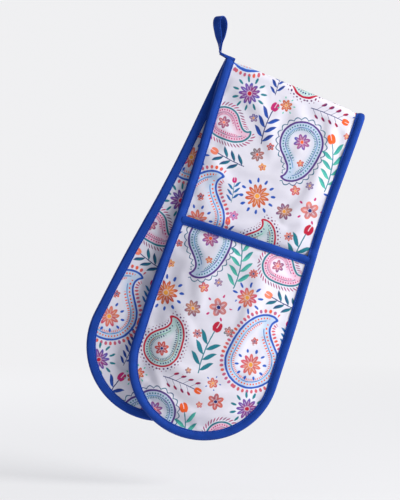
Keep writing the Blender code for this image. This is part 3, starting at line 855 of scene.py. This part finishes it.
# The padded strip
# Each half of the strip is one pad: printed cotton outside and inside with the wadding between. Its cut
# edge is held in the binding, and it runs up to the crest of the fold, where it meets the other half.
OUTER_CUT = (0.108, 0.236)
INNER_CUT = (0.118, 0.395)
INNER_SLACK = 0.0010
OUTER_SEED, INNER_SEED, PUCKER_SEED = 11, 31, 21


def put_fields(mesh, fields):
    """Per-point vectors on a mesh."""
    for name, values in fields.items():
        made = mesh.attributes.new(name, "FLOAT_VECTOR", "POINT")
        made.data.foreach_set("vector", np.ascontiguousarray(values, dtype=np.float32).ravel())


def new_piece(name, points, faces, material, sharp=50.0):
    """A closed piece from arrays of faces, which are turned outwards and smooth but for sharp edges."""
    mesh = bpy.data.meshes.new(name)
    mesh.from_pydata(points.tolist(), [], [face for group in faces for face in group.tolist()])
    shape = bmesh.new()
    shape.from_mesh(mesh)
    bmesh.ops.recalc_face_normals(shape, faces=shape.faces)
    shape.to_mesh(mesh)
    shape.free()
    mesh.shade_smooth()
    mesh.set_sharp_from_angle(angle=math.radians(sharp))
    mesh.materials.append(material)
    return new_object(name, mesh)


def two_faced(low, high):
    """Points and faces of a closed sheet between two grids of the same shape, with a wall round its rim."""
    rows, columns = low.shape[:2]
    beyond = rows * columns
    index = np.arange(beyond).reshape(rows, columns)
    quads = grid_faces(rows, columns)
    rim = np.concatenate([index[0, :-1], index[:-1, -1], index[-1, :0:-1], index[:0:-1, 0]])
    wall = np.stack([rim, np.roll(rim, -1), np.roll(rim, -1) + beyond, rim + beyond], axis=-1)
    points = np.concatenate([low.reshape(-1, 3), high.reshape(-1, 3)])
    return points, [quads, quads[:, ::-1] + beyond, wall]


def cloth_fields(x, y, offset):
    """Print and weave coordinates of a cloth cut from the bolt at the given offset."""
    x, y = x.ravel() + offset[0], y.ravel() + offset[1]
    return {"cloth": np.stack([x, y, np.zeros_like(x)], axis=1), **print_fields(x, y)}


def joined(first, second):
    """The fields of a pad's two faces as one."""
    return {name: np.concatenate([first[name], second[name]]) for name in first}


cotton = printed_cotton()
crest_rows = ARCH_HALF * np.linspace(0, 1, CREST_ROWS) ** CREST_CROWDING
strip_rows = np.concatenate([crest_rows, even_rows(ARCH_HALF, END_CENTRE, GRID)[1:]])
p, t, *scales = half_grid(strip_rows, PAD_EDGE, GRID)
d = edge_distance(p, t)
full = fullness(d)
inner, outer = strip_faces(p, t, d)
crest = ease(p / MOUTH_EASE)
shown = crest * ease((MOUTH - p) / PUCKER_SIZE)
for half, side in SIDES.items():
    lift = folds(half, strip_faces, (2 * ARCH_HALF, MOUTH), False, scales, OUTER_SEED + side)
    inner_lift = folds(half, strip_faces, (2 * ARCH_HALF, END_CENTRE), True, scales, INNER_SEED + side)
    high = outer + lift + puckers(p, t, PUCKER_SEED + side) * shown
    low = inner + full * np.maximum(INNER_SLACK - inner_lift, 0) * crest
    shape = two_faced(bend_over(half, p, t, low), bend_over(half, p, t, high))
    pad = new_piece(half + "_pad", *shape, cotton)
    inner_print = cloth_fields(side * t, side * p, INNER_CUT)
    put_fields(pad.data, joined(inner_print, cloth_fields(side * t, -side * p, OUTER_CUT)))
    follow_half(pad, half)
    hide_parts(half + "_inner_cloth", half + "_wadding", half + "_outer_cloth")
    if half == "front":
        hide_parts("fold_inner_cloth", "fold_wadding", "fold_outer_cloth")

# The pockets
# A hand pocket lies over each round end: printed cotton outside, a thinner wadding, and a plain cotton
# lining against the hand. It is held in the edge binding all round, and its mouth has a binding of its own.
POCKET_CUT = (0.487, 0.164)
POCKET_CUT_SHIFT = 0.055
POCKET_SEED, POCKET_PUCKER_SEED = 51, 61
LINING = (0.84, 0.83, 0.84)
LINING_SHADE = (0.78, 0.77, 0.79)
LINING_CLOUD = 0.0200


def lining_cotton():
    """The same weave in plain off-white."""
    made, wire, sockets = new_material("plain_lining", COTTON_ROUGHNESS, COTTON_SHEEN)
    cloth = attribute(wire, "cloth")
    colour = noise(cloth, LINING_CLOUD).mix(LINING_SHADE, LINING)
    set_finish(sockets, colour, plain_weave(cloth, WEAVE_PITCH), WEAVE_STRENGTH)
    return made


lining = lining_cotton()
pocket_top = MOUTH + PAD_EDGE
p, t, *scales = half_grid(even_rows(pocket_top, END_CENTRE, GRID), PAD_EDGE, GRID)
d = edge_distance(p, t)
low, high = pocket_faces(p, t, d)
seam = ease((p - MOUTH_SEAT) / PUCKER_SIZE)
lining_fields = {"cloth": np.tile(np.stack([t.ravel(), p.ravel(), np.zeros(p.size)], axis=1), (2, 1))}
for half, side in SIDES.items():
    lift = folds(half, pocket_faces, (MOUTH_SEAT, END_CENTRE), True, scales, POCKET_SEED + side)
    top = high + (lift + puckers(p, t, POCKET_PUCKER_SEED + side)) * seam
    shape = two_faced(bend_over(half, p, t, low + CLOTH + CLEARANCE), bend_over(half, p, t, top))
    pocket = new_piece(half + "_pocket_pad", *shape, cotton)
    fields = cloth_fields(t, -p, (POCKET_CUT[0] + POCKET_CUT_SHIFT * side, POCKET_CUT[1]))
    put_fields(pocket.data, joined(fields, fields))
    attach(pocket, half + "_half")
    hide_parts(half + "_pocket_cloth", half + "_pocket_wadding")
    shape = two_faced(bend_over(half, p, t, low), bend_over(half, p, t, low + CLOTH))
    inside = new_piece(half + "_pocket_lining_cloth", *shape, lining)
    put_fields(inside.data, lining_fields)
    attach(inside, half + "_half")
    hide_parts(half + "_pocket_lining")

# The bindings
# Royal blue cotton bias tape, folded over the cut edge and sewn through both legs close to the edges that
# are turned under. One tape runs round each half's edge, and a shorter one over each pocket's mouth.
TAPE_COLOUR = (0.004, 0.062, 0.420)
TAPE_SHADE = (0.002, 0.024, 0.165)
TAPE_ROUGHNESS = 0.80
TAPE_SHEEN = 0.02
TAPE_PATCH = 0.0120
TAPE_FLECK = 0.0009
TAPE_PATCH_SHARE = 0.55
TAPE_STRENGTH = 0.7
TAPE_SEAT = CLEARANCE / 3
PATH_STEP = 0.0016
LEG_POINTS = 18
NOSE_POINTS = 17
SEAM_IN = 0.0017
SEAM_SINK = 0.00034
SEAM_SPREAD = 0.0007
LEG_CROWN = 0.0017
HIDDEN_CROWN = 0.0002
EDGE_ROUND = 0.0007
TAPE_WAVE = 0.00026
TAPE_WAVE_SIZE = 0.0055
TAPE_DRIFT = 0.00035
TAPE_DRIFT_SIZE = 0.026
WAVE_SLANT = 0.7
EDGE_SEED, MOUTH_SEED, SEED_STEP = 71, 91, 4
TAPE_GRAIN = 0.0030
TAPE_GRAIN_DEPTH = 0.00016


def bias_tape():
    """Blue cotton whose weave runs at 45 degrees to the tape, in patches and flecks of two blues."""
    made, wire, sockets = new_material("blue_binding", TAPE_ROUGHNESS, TAPE_SHEEN)
    tape = attribute(wire, "cloth")
    x, y, _ = tape.parts()
    bias = tape.node("ShaderNodeCombineXYZ", {0: x + y, 1: x - y})
    patches = noise(tape, TAPE_PATCH, 3.0) * TAPE_PATCH_SHARE
    colour = (patches + noise(tape, TAPE_FLECK) * (1 - TAPE_PATCH_SHARE)).mix(TAPE_SHADE, TAPE_COLOUR)
    grain = noise(tape, TAPE_GRAIN) * TAPE_GRAIN_DEPTH
    set_finish(sockets, colour, plain_weave(bias, WEAVE_PITCH) + grain, TAPE_STRENGTH)
    return made


def tape_section(low, high, face):
    """Distances in from the edge and heights of a tape folded over an edge that lies between low and high.
    The outer skin rises from the turned-under edge, dips at the seam, swells, rounds the nose and comes
    back below, where it lies flatter; the inner skin lies a tape's thickness under it."""
    turn = np.linspace(math.pi / 2, -math.pi / 2, NOSE_POINTS)
    leg = np.linspace(face, BINDING_NOSE, LEG_POINTS + 1)[:-1]
    from_edge = face - leg
    lift = TAPE * (np.sqrt(1 - (1 - np.clip(from_edge / EDGE_ROUND, 0, 1)) ** 2) - 1)
    lift = lift - SEAM_SINK * np.exp(-(((from_edge - SEAM_IN) / SEAM_SPREAD) ** 2))
    swell = np.sin(math.pi * np.clip((from_edge - SEAM_IN) / (face - SEAM_IN), 0, 1))
    above, below = lift + LEG_CROWN * swell, lift + HIDDEN_CROWN * swell
    middle = (low + high)[:, None] / 2
    half = (high - low)[:, None] / 2 + TAPE_SEAT + TAPE
    nose_swell = np.where(turn > 0, above[-1], below[-1]) * np.sin(turn) ** 2
    outer_d = np.concatenate([leg, BINDING_NOSE * (1 - np.cos(turn)), leg[::-1]])
    nose = (half + nose_swell) * np.sin(turn)
    outer_h = np.concatenate([half + above, nose, -(half + below[::-1])], axis=1)
    inner_d = np.concatenate([leg, np.full(NOSE_POINTS, BINDING_TURN), leg[::-1]])
    inside = half - TAPE
    inner_h = np.concatenate([inside + 0 * leg, inside * np.sin(turn), -(inside + 0 * leg)], axis=1)
    distances = np.concatenate([outer_d, inner_d[::-1]])
    return distances, np.concatenate([middle + outer_h, middle + inner_h[:, ::-1]], axis=1)


def ring_faces(steps, corners, closed):
    """Faces of a section carried along a path, with caps where the path doesn't close."""
    index = np.arange(steps * corners).reshape(steps, corners)
    after = np.roll(index, -1, axis=0) if closed else index[1:]
    here = index if closed else index[:-1]
    quads = np.stack([here, np.roll(here, -1, 1), np.roll(after, -1, 1), after], axis=-1).reshape(-1, 4)
    half = corners // 2
    ends = [] if closed else [index[0], index[-1]]
    sides = [(row[:half - 1], row[1:half], row[-2:half - 1:-1], row[:half:-1]) for row in ends]
    return [quads, *(np.stack(corners_of_cap, axis=-1) for corners_of_cap in sides)]


def edge_path():
    """Rows, sides and turns of the places along a half's edge, down one side from the crest, round the end
    and up the other, and the tape's travel there."""
    side = np.concatenate([crest_rows, even_rows(ARCH_HALF, END_CENTRE, PATH_STEP)[1:]])
    round_end = even_rows(0, END_RADIUS * math.pi, PATH_STEP)[1:-1] / END_RADIUS
    zero = np.zeros(len(round_end))
    row = np.concatenate([side, END_CENTRE + zero, side[::-1]])
    across = np.concatenate([-np.ones(len(side)), zero, np.ones(len(side))])
    turn = np.concatenate([np.zeros(len(side)), round_end, np.full(len(side), math.pi)])
    travel = np.where(across > 0, 2 * END_CENTRE - row, row) + END_RADIUS * turn
    return row, across, turn, travel


def edge_places(row, across, turn, distance):
    """p and t at a distance in from the edge, at each place of the path."""
    p, t = row_places(row, across, distance)
    round_p = END_CENTRE + (END_RADIUS - distance) * np.sin(turn)
    round_t = -(END_RADIUS - distance) * np.cos(turn)
    return np.where(across == 0, round_p, p), np.where(across == 0, round_t, t)


def stack_at_edge(p, t):
    """Heights under the binding: the strip's two faces, or its inner face and the pocket's outer one."""
    at_edge = np.full_like(p, PAD_EDGE)
    low, high = strip_faces(p, t, at_edge)
    pocket = pocket_faces(p, t, at_edge)[1]
    return low, high + (pocket - high) * ease((p - MOUTH + MOUTH_FACE) / MOUTH_FACE)


def rippled(distances, heights, travel, face, seed):
    """A tape's section with small waves and the wander of a hand-guided seam, which fade at its fold."""
    fade = ease(distances / face)
    above = heights > heights.mean(axis=1, keepdims=True)
    along = travel[:, None] + WAVE_SLANT * distances[None, :]
    wave = TAPE_WAVE * soft_noise(along, 0 * along, TAPE_WAVE_SIZE, seed) * fade
    drift = TAPE_DRIFT * soft_noise(travel, 0 * travel, TAPE_DRIFT_SIZE, seed + 1)[:, None] * fade
    return distances[None, :] + drift, heights + wave * above


def put_weave(piece, along, across):
    """The cloth's own coordinates on a piece, by which its weave runs."""
    fields = np.stack(np.broadcast_arrays(along, across, 0.0), axis=-1)
    put_fields(piece.data, {"cloth": fields.reshape(-1, 3)})


def sewn_tape(name, half, p, t, heights, travel):
    """A bound edge as a piece: its section carried along the edge and bent over the fold."""
    points = bend_over(half, p, t, heights)
    faces = ring_faces(*heights.shape, False)
    piece = new_piece(name, points.reshape(-1, 3), faces, tape_material, sharp=60.0)
    put_weave(piece, travel[:, None], line_travel(points[len(points) // 2])[None, :])
    return piece


# The stitching
# Blue polyester thread through every binding, a straight stitch 3 mm long. Each stitch shows as a slim
# rounded bar that lies in the groove it pulls into the tape.
THREAD_COLOUR = (0.030, 0.095, 0.460)
THREAD_ROUGHNESS = 0.55
THREAD_SHEEN = 0.10
THREAD = 0.00050
THREAD_TWIST = 0.0009
THREAD_TWIST_DEPTH = 0.00006
THREAD_TWIST_TONE = 0.3
THREAD_SIDES = 6
STITCH_PITCH = 0.0030
STITCH_SHARE = 0.74
STITCH_PROUD = 0.00010
RING_SHARES = (0.0, 0.14, 0.5, 0.86, 1.0)
BLUNT_TIP = 1.08


def sewing_thread():
    """Two blues that wind round the thread as its ply does."""
    made, wire, sockets = new_material("sewing_thread", THREAD_ROUGHNESS, THREAD_SHEEN)
    thread = attribute(wire, "cloth")
    x, y, _ = thread.parts()
    twist = ((x + y) * (math.tau / THREAD_TWIST)).sin()
    colour = (twist * THREAD_TWIST_TONE + 0.5).mix(TAPE_COLOUR, THREAD_COLOUR)
    set_finish(sockets, colour, twist * THREAD_TWIST_DEPTH, TAPE_STRENGTH)
    return made


def unit(vectors):
    """Vectors scaled to length 1."""
    return vectors / np.linalg.norm(vectors, axis=-1, keepdims=True)


def stitches(name, start, end, up):
    """Thread from each start to its end: rings round the line between, widest at its middle."""
    share = np.array(RING_SHARES)[:, None, None]
    turn = (np.arange(THREAD_SIDES) * math.tau / THREAD_SIDES)[:, None]
    along = (end - start)[:, None, None]
    up = unit(up)[:, None, None]
    side = unit(np.cross(up, along))
    swell = THREAD / 2 * np.sqrt(BLUNT_TIP - (2 * share - 1) ** 4)
    points = start[:, None, None] + share * along + swell * (np.cos(turn) * side + np.sin(turn) * up)
    count, rings, corners = points.shape[:3]
    first = (np.arange(count) * rings * corners)[:, None, None]
    faces = [(group[None] + first).reshape(-1, 4) for group in ring_faces(rings, corners, False)]
    piece = new_piece(name, points.reshape(-1, 3), faces, thread_material, sharp=80.0)
    put_weave(piece, share * np.linalg.norm(along, axis=-1, keepdims=True), turn * THREAD / 2)
    return piece


def run_of_stitches(line, up):
    """Starts, ends and upward directions of even stitches along a line of places."""
    travel = line_travel(line)
    place = np.arange(STITCH_PITCH, travel[-1] - STITCH_PITCH, STITCH_PITCH)
    at = lambda spots, values: np.stack([np.interp(spots, travel, column) for column in values.T], axis=1)
    lift = STITCH_PROUD * at(place, unit(up))
    return at(place, line) + lift, at(place + STITCH_SHARE * STITCH_PITCH, line) + lift, lift


def sewn_lines(name, lines):
    """Even stitches along lines of places, each given with the same line further out."""
    runs = [run_of_stitches(line, above - line) for line, above in lines]
    return stitches(name, *(np.concatenate(parts) for parts in zip(*runs)))


def seam_stitches(name, half, p, t, heights):
    """Stitches along both faces of a bound edge, in the groove on its outer skin."""
    groove = round(SEAM_IN / (BINDING_FACE - BINDING_NOSE) * LEG_POINTS)
    last = 2 * LEG_POINTS + NOSE_POINTS - 1
    lines = []
    for column, out in ((groove, 1), (last - groove, -1)):
        line = bend_over(half, p[:, column], t[:, column], heights[:, column])
        above = bend_over(half, p[:, column], t[:, column], heights[:, column] + out * THREAD)
        lines.append((line, above))
    return sewn_lines(name, lines)


tape_material = bias_tape()
thread_material = sewing_thread()
row, across, turn, travel = edge_path()
edge_p, edge_t = edge_places(row, across, turn, PAD_EDGE)
section, section_heights = tape_section(*stack_at_edge(edge_p, edge_t), BINDING_FACE)
for half, side in SIDES.items():
    distances, heights = rippled(section, section_heights, travel, BINDING_FACE, EDGE_SEED + SEED_STEP * side)
    p, t = edge_places(row[:, None], across[:, None], turn[:, None], distances)
    binding = sewn_tape(half + "_edge_tape", half, p, t, heights, travel)
    thread = seam_stitches(half + "_edge_thread", half, p, t, heights)
    for piece in (binding, thread):
        follow_half(piece, half)
    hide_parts(half + "_edge_binding")
    if half == "front":
        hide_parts("fold_left_binding", "fold_right_binding")

mouth_half = half_width(MOUTH_SEAT) - BINDING_FACE + BINDING_NOSE
mouth_t = even_rows(-mouth_half, mouth_half, PATH_STEP)
mouth_d = half_width(MOUTH_SEAT) - np.abs(mouth_t)
section, section_heights = tape_section(*pocket_faces(MOUTH_SEAT + 0 * mouth_t, mouth_t, mouth_d), MOUTH_FACE)
for half, side in SIDES.items():
    distances, heights = rippled(section, section_heights, mouth_t, MOUTH_FACE, MOUTH_SEED + SEED_STEP * side)
    p, t = np.broadcast_arrays(MOUTH + distances, mouth_t[:, None])
    binding = sewn_tape(half + "_mouth_tape", half, p, t, heights, mouth_t)
    thread = seam_stitches(half + "_mouth_thread", half, p, t, heights)
    for piece in (binding, thread):
        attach(piece, half + "_half")
    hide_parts(half + "_mouth_binding")

# The hanging loop
# The same tape folded in half and edge-stitched. Its two ends are laid together and sewn down over the
# binding at the fold's left end with a bar tack, and the loop stands up from there and turns on its way.
LOOP_TAPE = 0.0013
LOOP_WIDTH = 0.0100
LOOP_SLIT = 0.0004
LOOP_STANDOFF = 0.0084
LOOP_STEM = 0.0100
LOOP_FLARE = 0.0240
LOOP_RADIUS = 0.0090
LOOP_TWIST = math.radians(60)
LOOP_TWIST_RISE = 0.0250
LOOP_STEP = 0.0008
BEND_POINTS = 9
LOOP_FOOT = (LOOP_TAPE + LOOP_SLIT) / 2
LOOP_STACK = 2 * LOOP_TAPE + LOOP_SLIT
OUTLINE_POINTS = 32
OUTLINE_SQUARENESS = 0.45
PINCH_SHARE = 0.28
TACK_COUNT = 11
TACK_SPAN = 0.0066
TACK_REACH = 0.0031


def loop_line():
    """The loop's middle line from the foot of one side, up, over the top and down, then round the bend."""
    stem = np.linspace(0, 1, round(LOOP_STEM / LOOP_STEP))
    rise = np.linspace(0, 1, round(LOOP_FLARE / LOOP_STEP))[1:]
    side_x = np.concatenate([LOOP_FOOT + 0 * stem, LOOP_FOOT + (LOOP_RADIUS - LOOP_FOOT) * ease(rise)])
    side_z = np.concatenate([LOOP_STEM * stem, LOOP_STEM + LOOP_FLARE * rise])
    top = np.linspace(0, math.pi, round(LOOP_RADIUS * math.pi / LOOP_STEP))[1:-1]
    bottom = np.linspace(math.pi, 2 * math.pi, BEND_POINTS)[1:-1]
    over, under = side_z[-1] + LOOP_RADIUS * np.sin(top), LOOP_FOOT * np.sin(bottom)
    x = np.concatenate([side_x, LOOP_RADIUS * np.cos(top), -side_x[::-1], LOOP_FOOT * np.cos(bottom)])
    z = np.concatenate([side_z, over, side_z[::-1], under])
    return np.stack([x, z], axis=1)


def tape_outline(width, thickness):
    """Outline of a folded tape: a flat oval, pinched a little along the stitches near its edges."""
    turn = (np.arange(OUTLINE_POINTS) + 0.5) * math.tau / OUTLINE_POINTS
    wide = np.sign(np.cos(turn)) * np.abs(np.cos(turn)) ** OUTLINE_SQUARENESS * width / 2
    pinch = 1 - PINCH_SHARE * np.exp(-(((np.abs(wide) - width / 2 + SEAM_IN) / SEAM_SPREAD) ** 2))
    thick = np.sign(np.sin(turn)) * np.abs(np.sin(turn)) ** OUTLINE_SQUARENESS * thickness / 2 * pinch
    return wide, thick


def loop_place(wide, thick):
    """World places on the loop, across its tape and out from its middle line, turned about the vertical."""
    px = loop_points[:, :1] + loop_along[:, 1:] * thick
    pz = loop_points[:, 1:] - loop_along[:, :1] * thick
    twist = LOOP_TWIST * ease(pz / LOOP_TWIST_RISE)
    x, y = px * np.cos(twist) - wide * np.sin(twist), px * np.sin(twist) + wide * np.cos(twist)
    return np.stack([x, y, pz], axis=-1) + joints["loop_swing"]["pos_m"]


def tail_place(x, wide, thick):
    """World places on the loop's sewn ends: they follow the fold's curve, flatten towards the bend and
    reach under it, cut along the loop's side where it swings down furthest."""
    curved = 1 - ease((tail_edge - x) / (tail_edge - tail_stop))
    up = tail_seat + curved * (np.sqrt(tail_seat**2 - wide**2) - tail_seat) + LOOP_STACK / 2 + thick
    x = x - (1 - curved) * (LOOP_STACK / 2 - thick) * math.tan(tail_turn)
    x, wide, up = (values[..., None] for values in np.broadcast_arrays(x, wide, up))
    return arch_centre + x * along_fold + wide * across_glove + up * up_from_fold


def taped_piece(name, points, travel, wide, closed):
    """A length of folded tape as a piece, with the tape's own coordinates for its weave."""
    piece = new_piece(name, points.reshape(-1, 3), ring_faces(*points.shape[:2], closed), tape_material)
    put_weave(piece, travel, wide[None, :])
    return piece


loop_points = loop_line()
loop_along = unit(np.roll(loop_points, -1, axis=0) - np.roll(loop_points, 1, axis=0))
wide, thick = tape_outline(LOOP_WIDTH, LOOP_TAPE)
loop = taped_piece("loop_tape", loop_place(wide, thick), line_travel(loop_points)[:, None], wide, True)
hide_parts("hanging_loop")
skins = (LOOP_TAPE / 2 * (1 - PINCH_SHARE), LOOP_TAPE)
lines = []
for edge in (-1, 1):
    for face in (-1, 1):
        lines.append([loop_place(edge * (LOOP_WIDTH / 2 - SEAM_IN), face * skin)[:, 0] for skin in skins])
thread = sewn_lines("loop_thread", lines)
for piece in (loop, thread):
    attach(piece, "loop")

tail_turn = math.radians(joints["loop_swing"]["range_deg"][1]) - math.atan2(-along_fold[2], along_fold[0])
tail_gap = (LOOP_STACK / 2 + CLEARANCE) / math.cos(tail_turn)
tail_start = (BINDING_FACE - END_RADIUS) / math.cos(FOLD_SKEW)
tail_edge = (BINDING_NOSE - END_RADIUS) / math.cos(FOLD_SKEW)
tail_stop = -END_RADIUS / math.cos(FOLD_SKEW) - LOOP_STANDOFF + tail_gap
tail_seat = fold_outer_radius + CLEARANCE
tail_x = even_rows(tail_stop, tail_start, LOOP_STEP)[:, None]
wide, thick = tape_outline(LOOP_WIDTH, LOOP_STACK)
tail = taped_piece("loop_tail_tape", tail_place(tail_x, wide, thick), tail_x, wide, False)
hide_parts("loop_tail")
crossings = np.arange(4 * TACK_COUNT + 1) / 4
tack_x = tail_start - STITCH_PITCH / 2 - TACK_SPAN * crossings / TACK_COUNT
tack_wide = TACK_REACH * (2 * np.abs(crossings % 2 - 1) - 1)
line, above = (tail_place(tack_x, tack_wide, skin) for skin in (LOOP_STACK / 2, LOOP_STACK))
thread = stitches("loop_bar_tack", line[:-1], line[1:], (above - line)[:-1])
for piece in (tail, thread):
    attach(piece, "fold")

# Light, floor and camera
# A pale studio: a key lamp from the right that grazes the cloth, a weak one from the left, one behind for
# the back, and a soft cool fill all round. The camera stands straight in front of the glove. The floor
# fades into the backdrop and keeps the glove's soft shadow.
VIEW_HEIGHT = 0.600
VIEW_CENTRE = (-0.0245, -0.0070, -0.2807)
CAMERA_DISTANCE = 1.60
FLOOR_DROP = 0.060
FLOOR_SIZE = 24.0
FLOOR_NEAR = 0.20
FLOOR_FADE = 1.60
FLOOR_SHARE = 0.38
FLOOR_COLOUR = (0.82, 0.82, 0.83, 1)
BACKDROP = (0.87, 0.87, 0.885, 1)
FILL_COLOUR = (0.84, 0.87, 1.0, 1)
FILL_STRENGTH = 0.25
SENSOR_WIDTH = 36.0
# Lamps: place, side, power and colour.
LAMPS = {
    "key": ((1.75, -0.92, 0.48), 0.8, 60.0, (1.0, 0.99, 0.98)),
    "fill": ((-1.60, -1.20, 0.10), 1.4, 3.0, (0.93, 0.95, 1.0)),
    "back": ((-0.90, 1.70, 0.60), 1.4, 26.0, (0.97, 0.98, 1.0)),
}


def join_surface(shader, kind):
    """Joins a shader to a new output node."""
    output = shader.tree.nodes.new(kind)
    shader.tree.links.new(shader.output, output.inputs["Surface"])


def studio():
    """The world: a soft cool fill, which the camera sees as the plain backdrop."""
    scene = bpy.context.scene
    scene.view_settings.view_transform = "Standard"
    scene.world = bpy.data.worlds.new("studio")
    scene.world.use_nodes = True
    scene.world.node_tree.nodes.clear()
    wire = Wire(scene.world.node_tree)
    seen = wire.node("ShaderNodeLightPath", {}, out="Is Camera Ray")
    fill = wire.node("ShaderNodeBackground", {"Color": FILL_COLOUR, "Strength": FILL_STRENGTH})
    backdrop = wire.node("ShaderNodeBackground", {"Color": BACKDROP, "Strength": 1.0})
    join_surface(wire.node("ShaderNodeMixShader", {0: seen, 1: fill, 2: backdrop}), "ShaderNodeOutputWorld")


def lamp(name, place, size, power, colour):
    """A square area lamp that shines at the middle of the view."""
    light = bpy.data.lights.new(name, "AREA")
    light.size, light.energy, light.color = size, power, colour
    made = new_object(name, light)
    made.location = place
    made.rotation_euler = (Vector(VIEW_CENTRE) - Vector(place)).to_track_quat("-Z", "Y").to_euler()


def floor():
    """A plain floor under the hanging glove, pale near it and one with the backdrop further off."""
    low = cad_box[0].z - FLOOR_DROP
    half = FLOOR_SIZE / 2
    corners = [(-half, -half, low), (half, -half, low), (half, half, low), (-half, half, low)]
    mesh = bpy.data.meshes.new("floor")
    mesh.from_pydata(corners, [], [(0, 1, 2, 3)])
    made = bpy.data.materials.new("floor")
    made.use_nodes = True
    made.node_tree.nodes.clear()
    wire = Wire(made.node_tree)
    x, y, _ = wire.node("ShaderNodeTexCoord", {}, out="Object").parts()
    near = wire.node("ShaderNodeBsdfDiffuse", {"Color": FLOOR_COLOUR})
    far = wire.node("ShaderNodeEmission", {"Color": BACKDROP, "Strength": 1.0})
    seen = wire.node("ShaderNodeLightPath", {}, out="Is Camera Ray")
    faded = (1 - span(x, y).within(FLOOR_NEAR + FLOOR_FADE / 2, FLOOR_FADE) * FLOOR_SHARE) * seen
    join_surface(wire.node("ShaderNodeMixShader", {0: faded, 1: near, 2: far}), "ShaderNodeOutputMaterial")
    mesh.materials.append(made)
    piece = new_object("floor", mesh)
    piece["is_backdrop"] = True


studio()
floor()
for name, settings in LAMPS.items():
    lamp(name, *settings)
camera = new_object("camera", bpy.data.cameras.new("camera"))
camera.data.sensor_width = SENSOR_WIDTH
camera.data.lens = SENSOR_WIDTH * CAMERA_DISTANCE / VIEW_HEIGHT
camera.location = (VIEW_CENTRE[0], VIEW_CENTRE[1] - CAMERA_DISTANCE, VIEW_CENTRE[2])
camera.rotation_euler = (math.pi / 2, 0, 0)
bpy.context.scene.camera = camera

{"cad": [list(corner) for corner in cad_box], "visual": [list(corner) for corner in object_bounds()]}
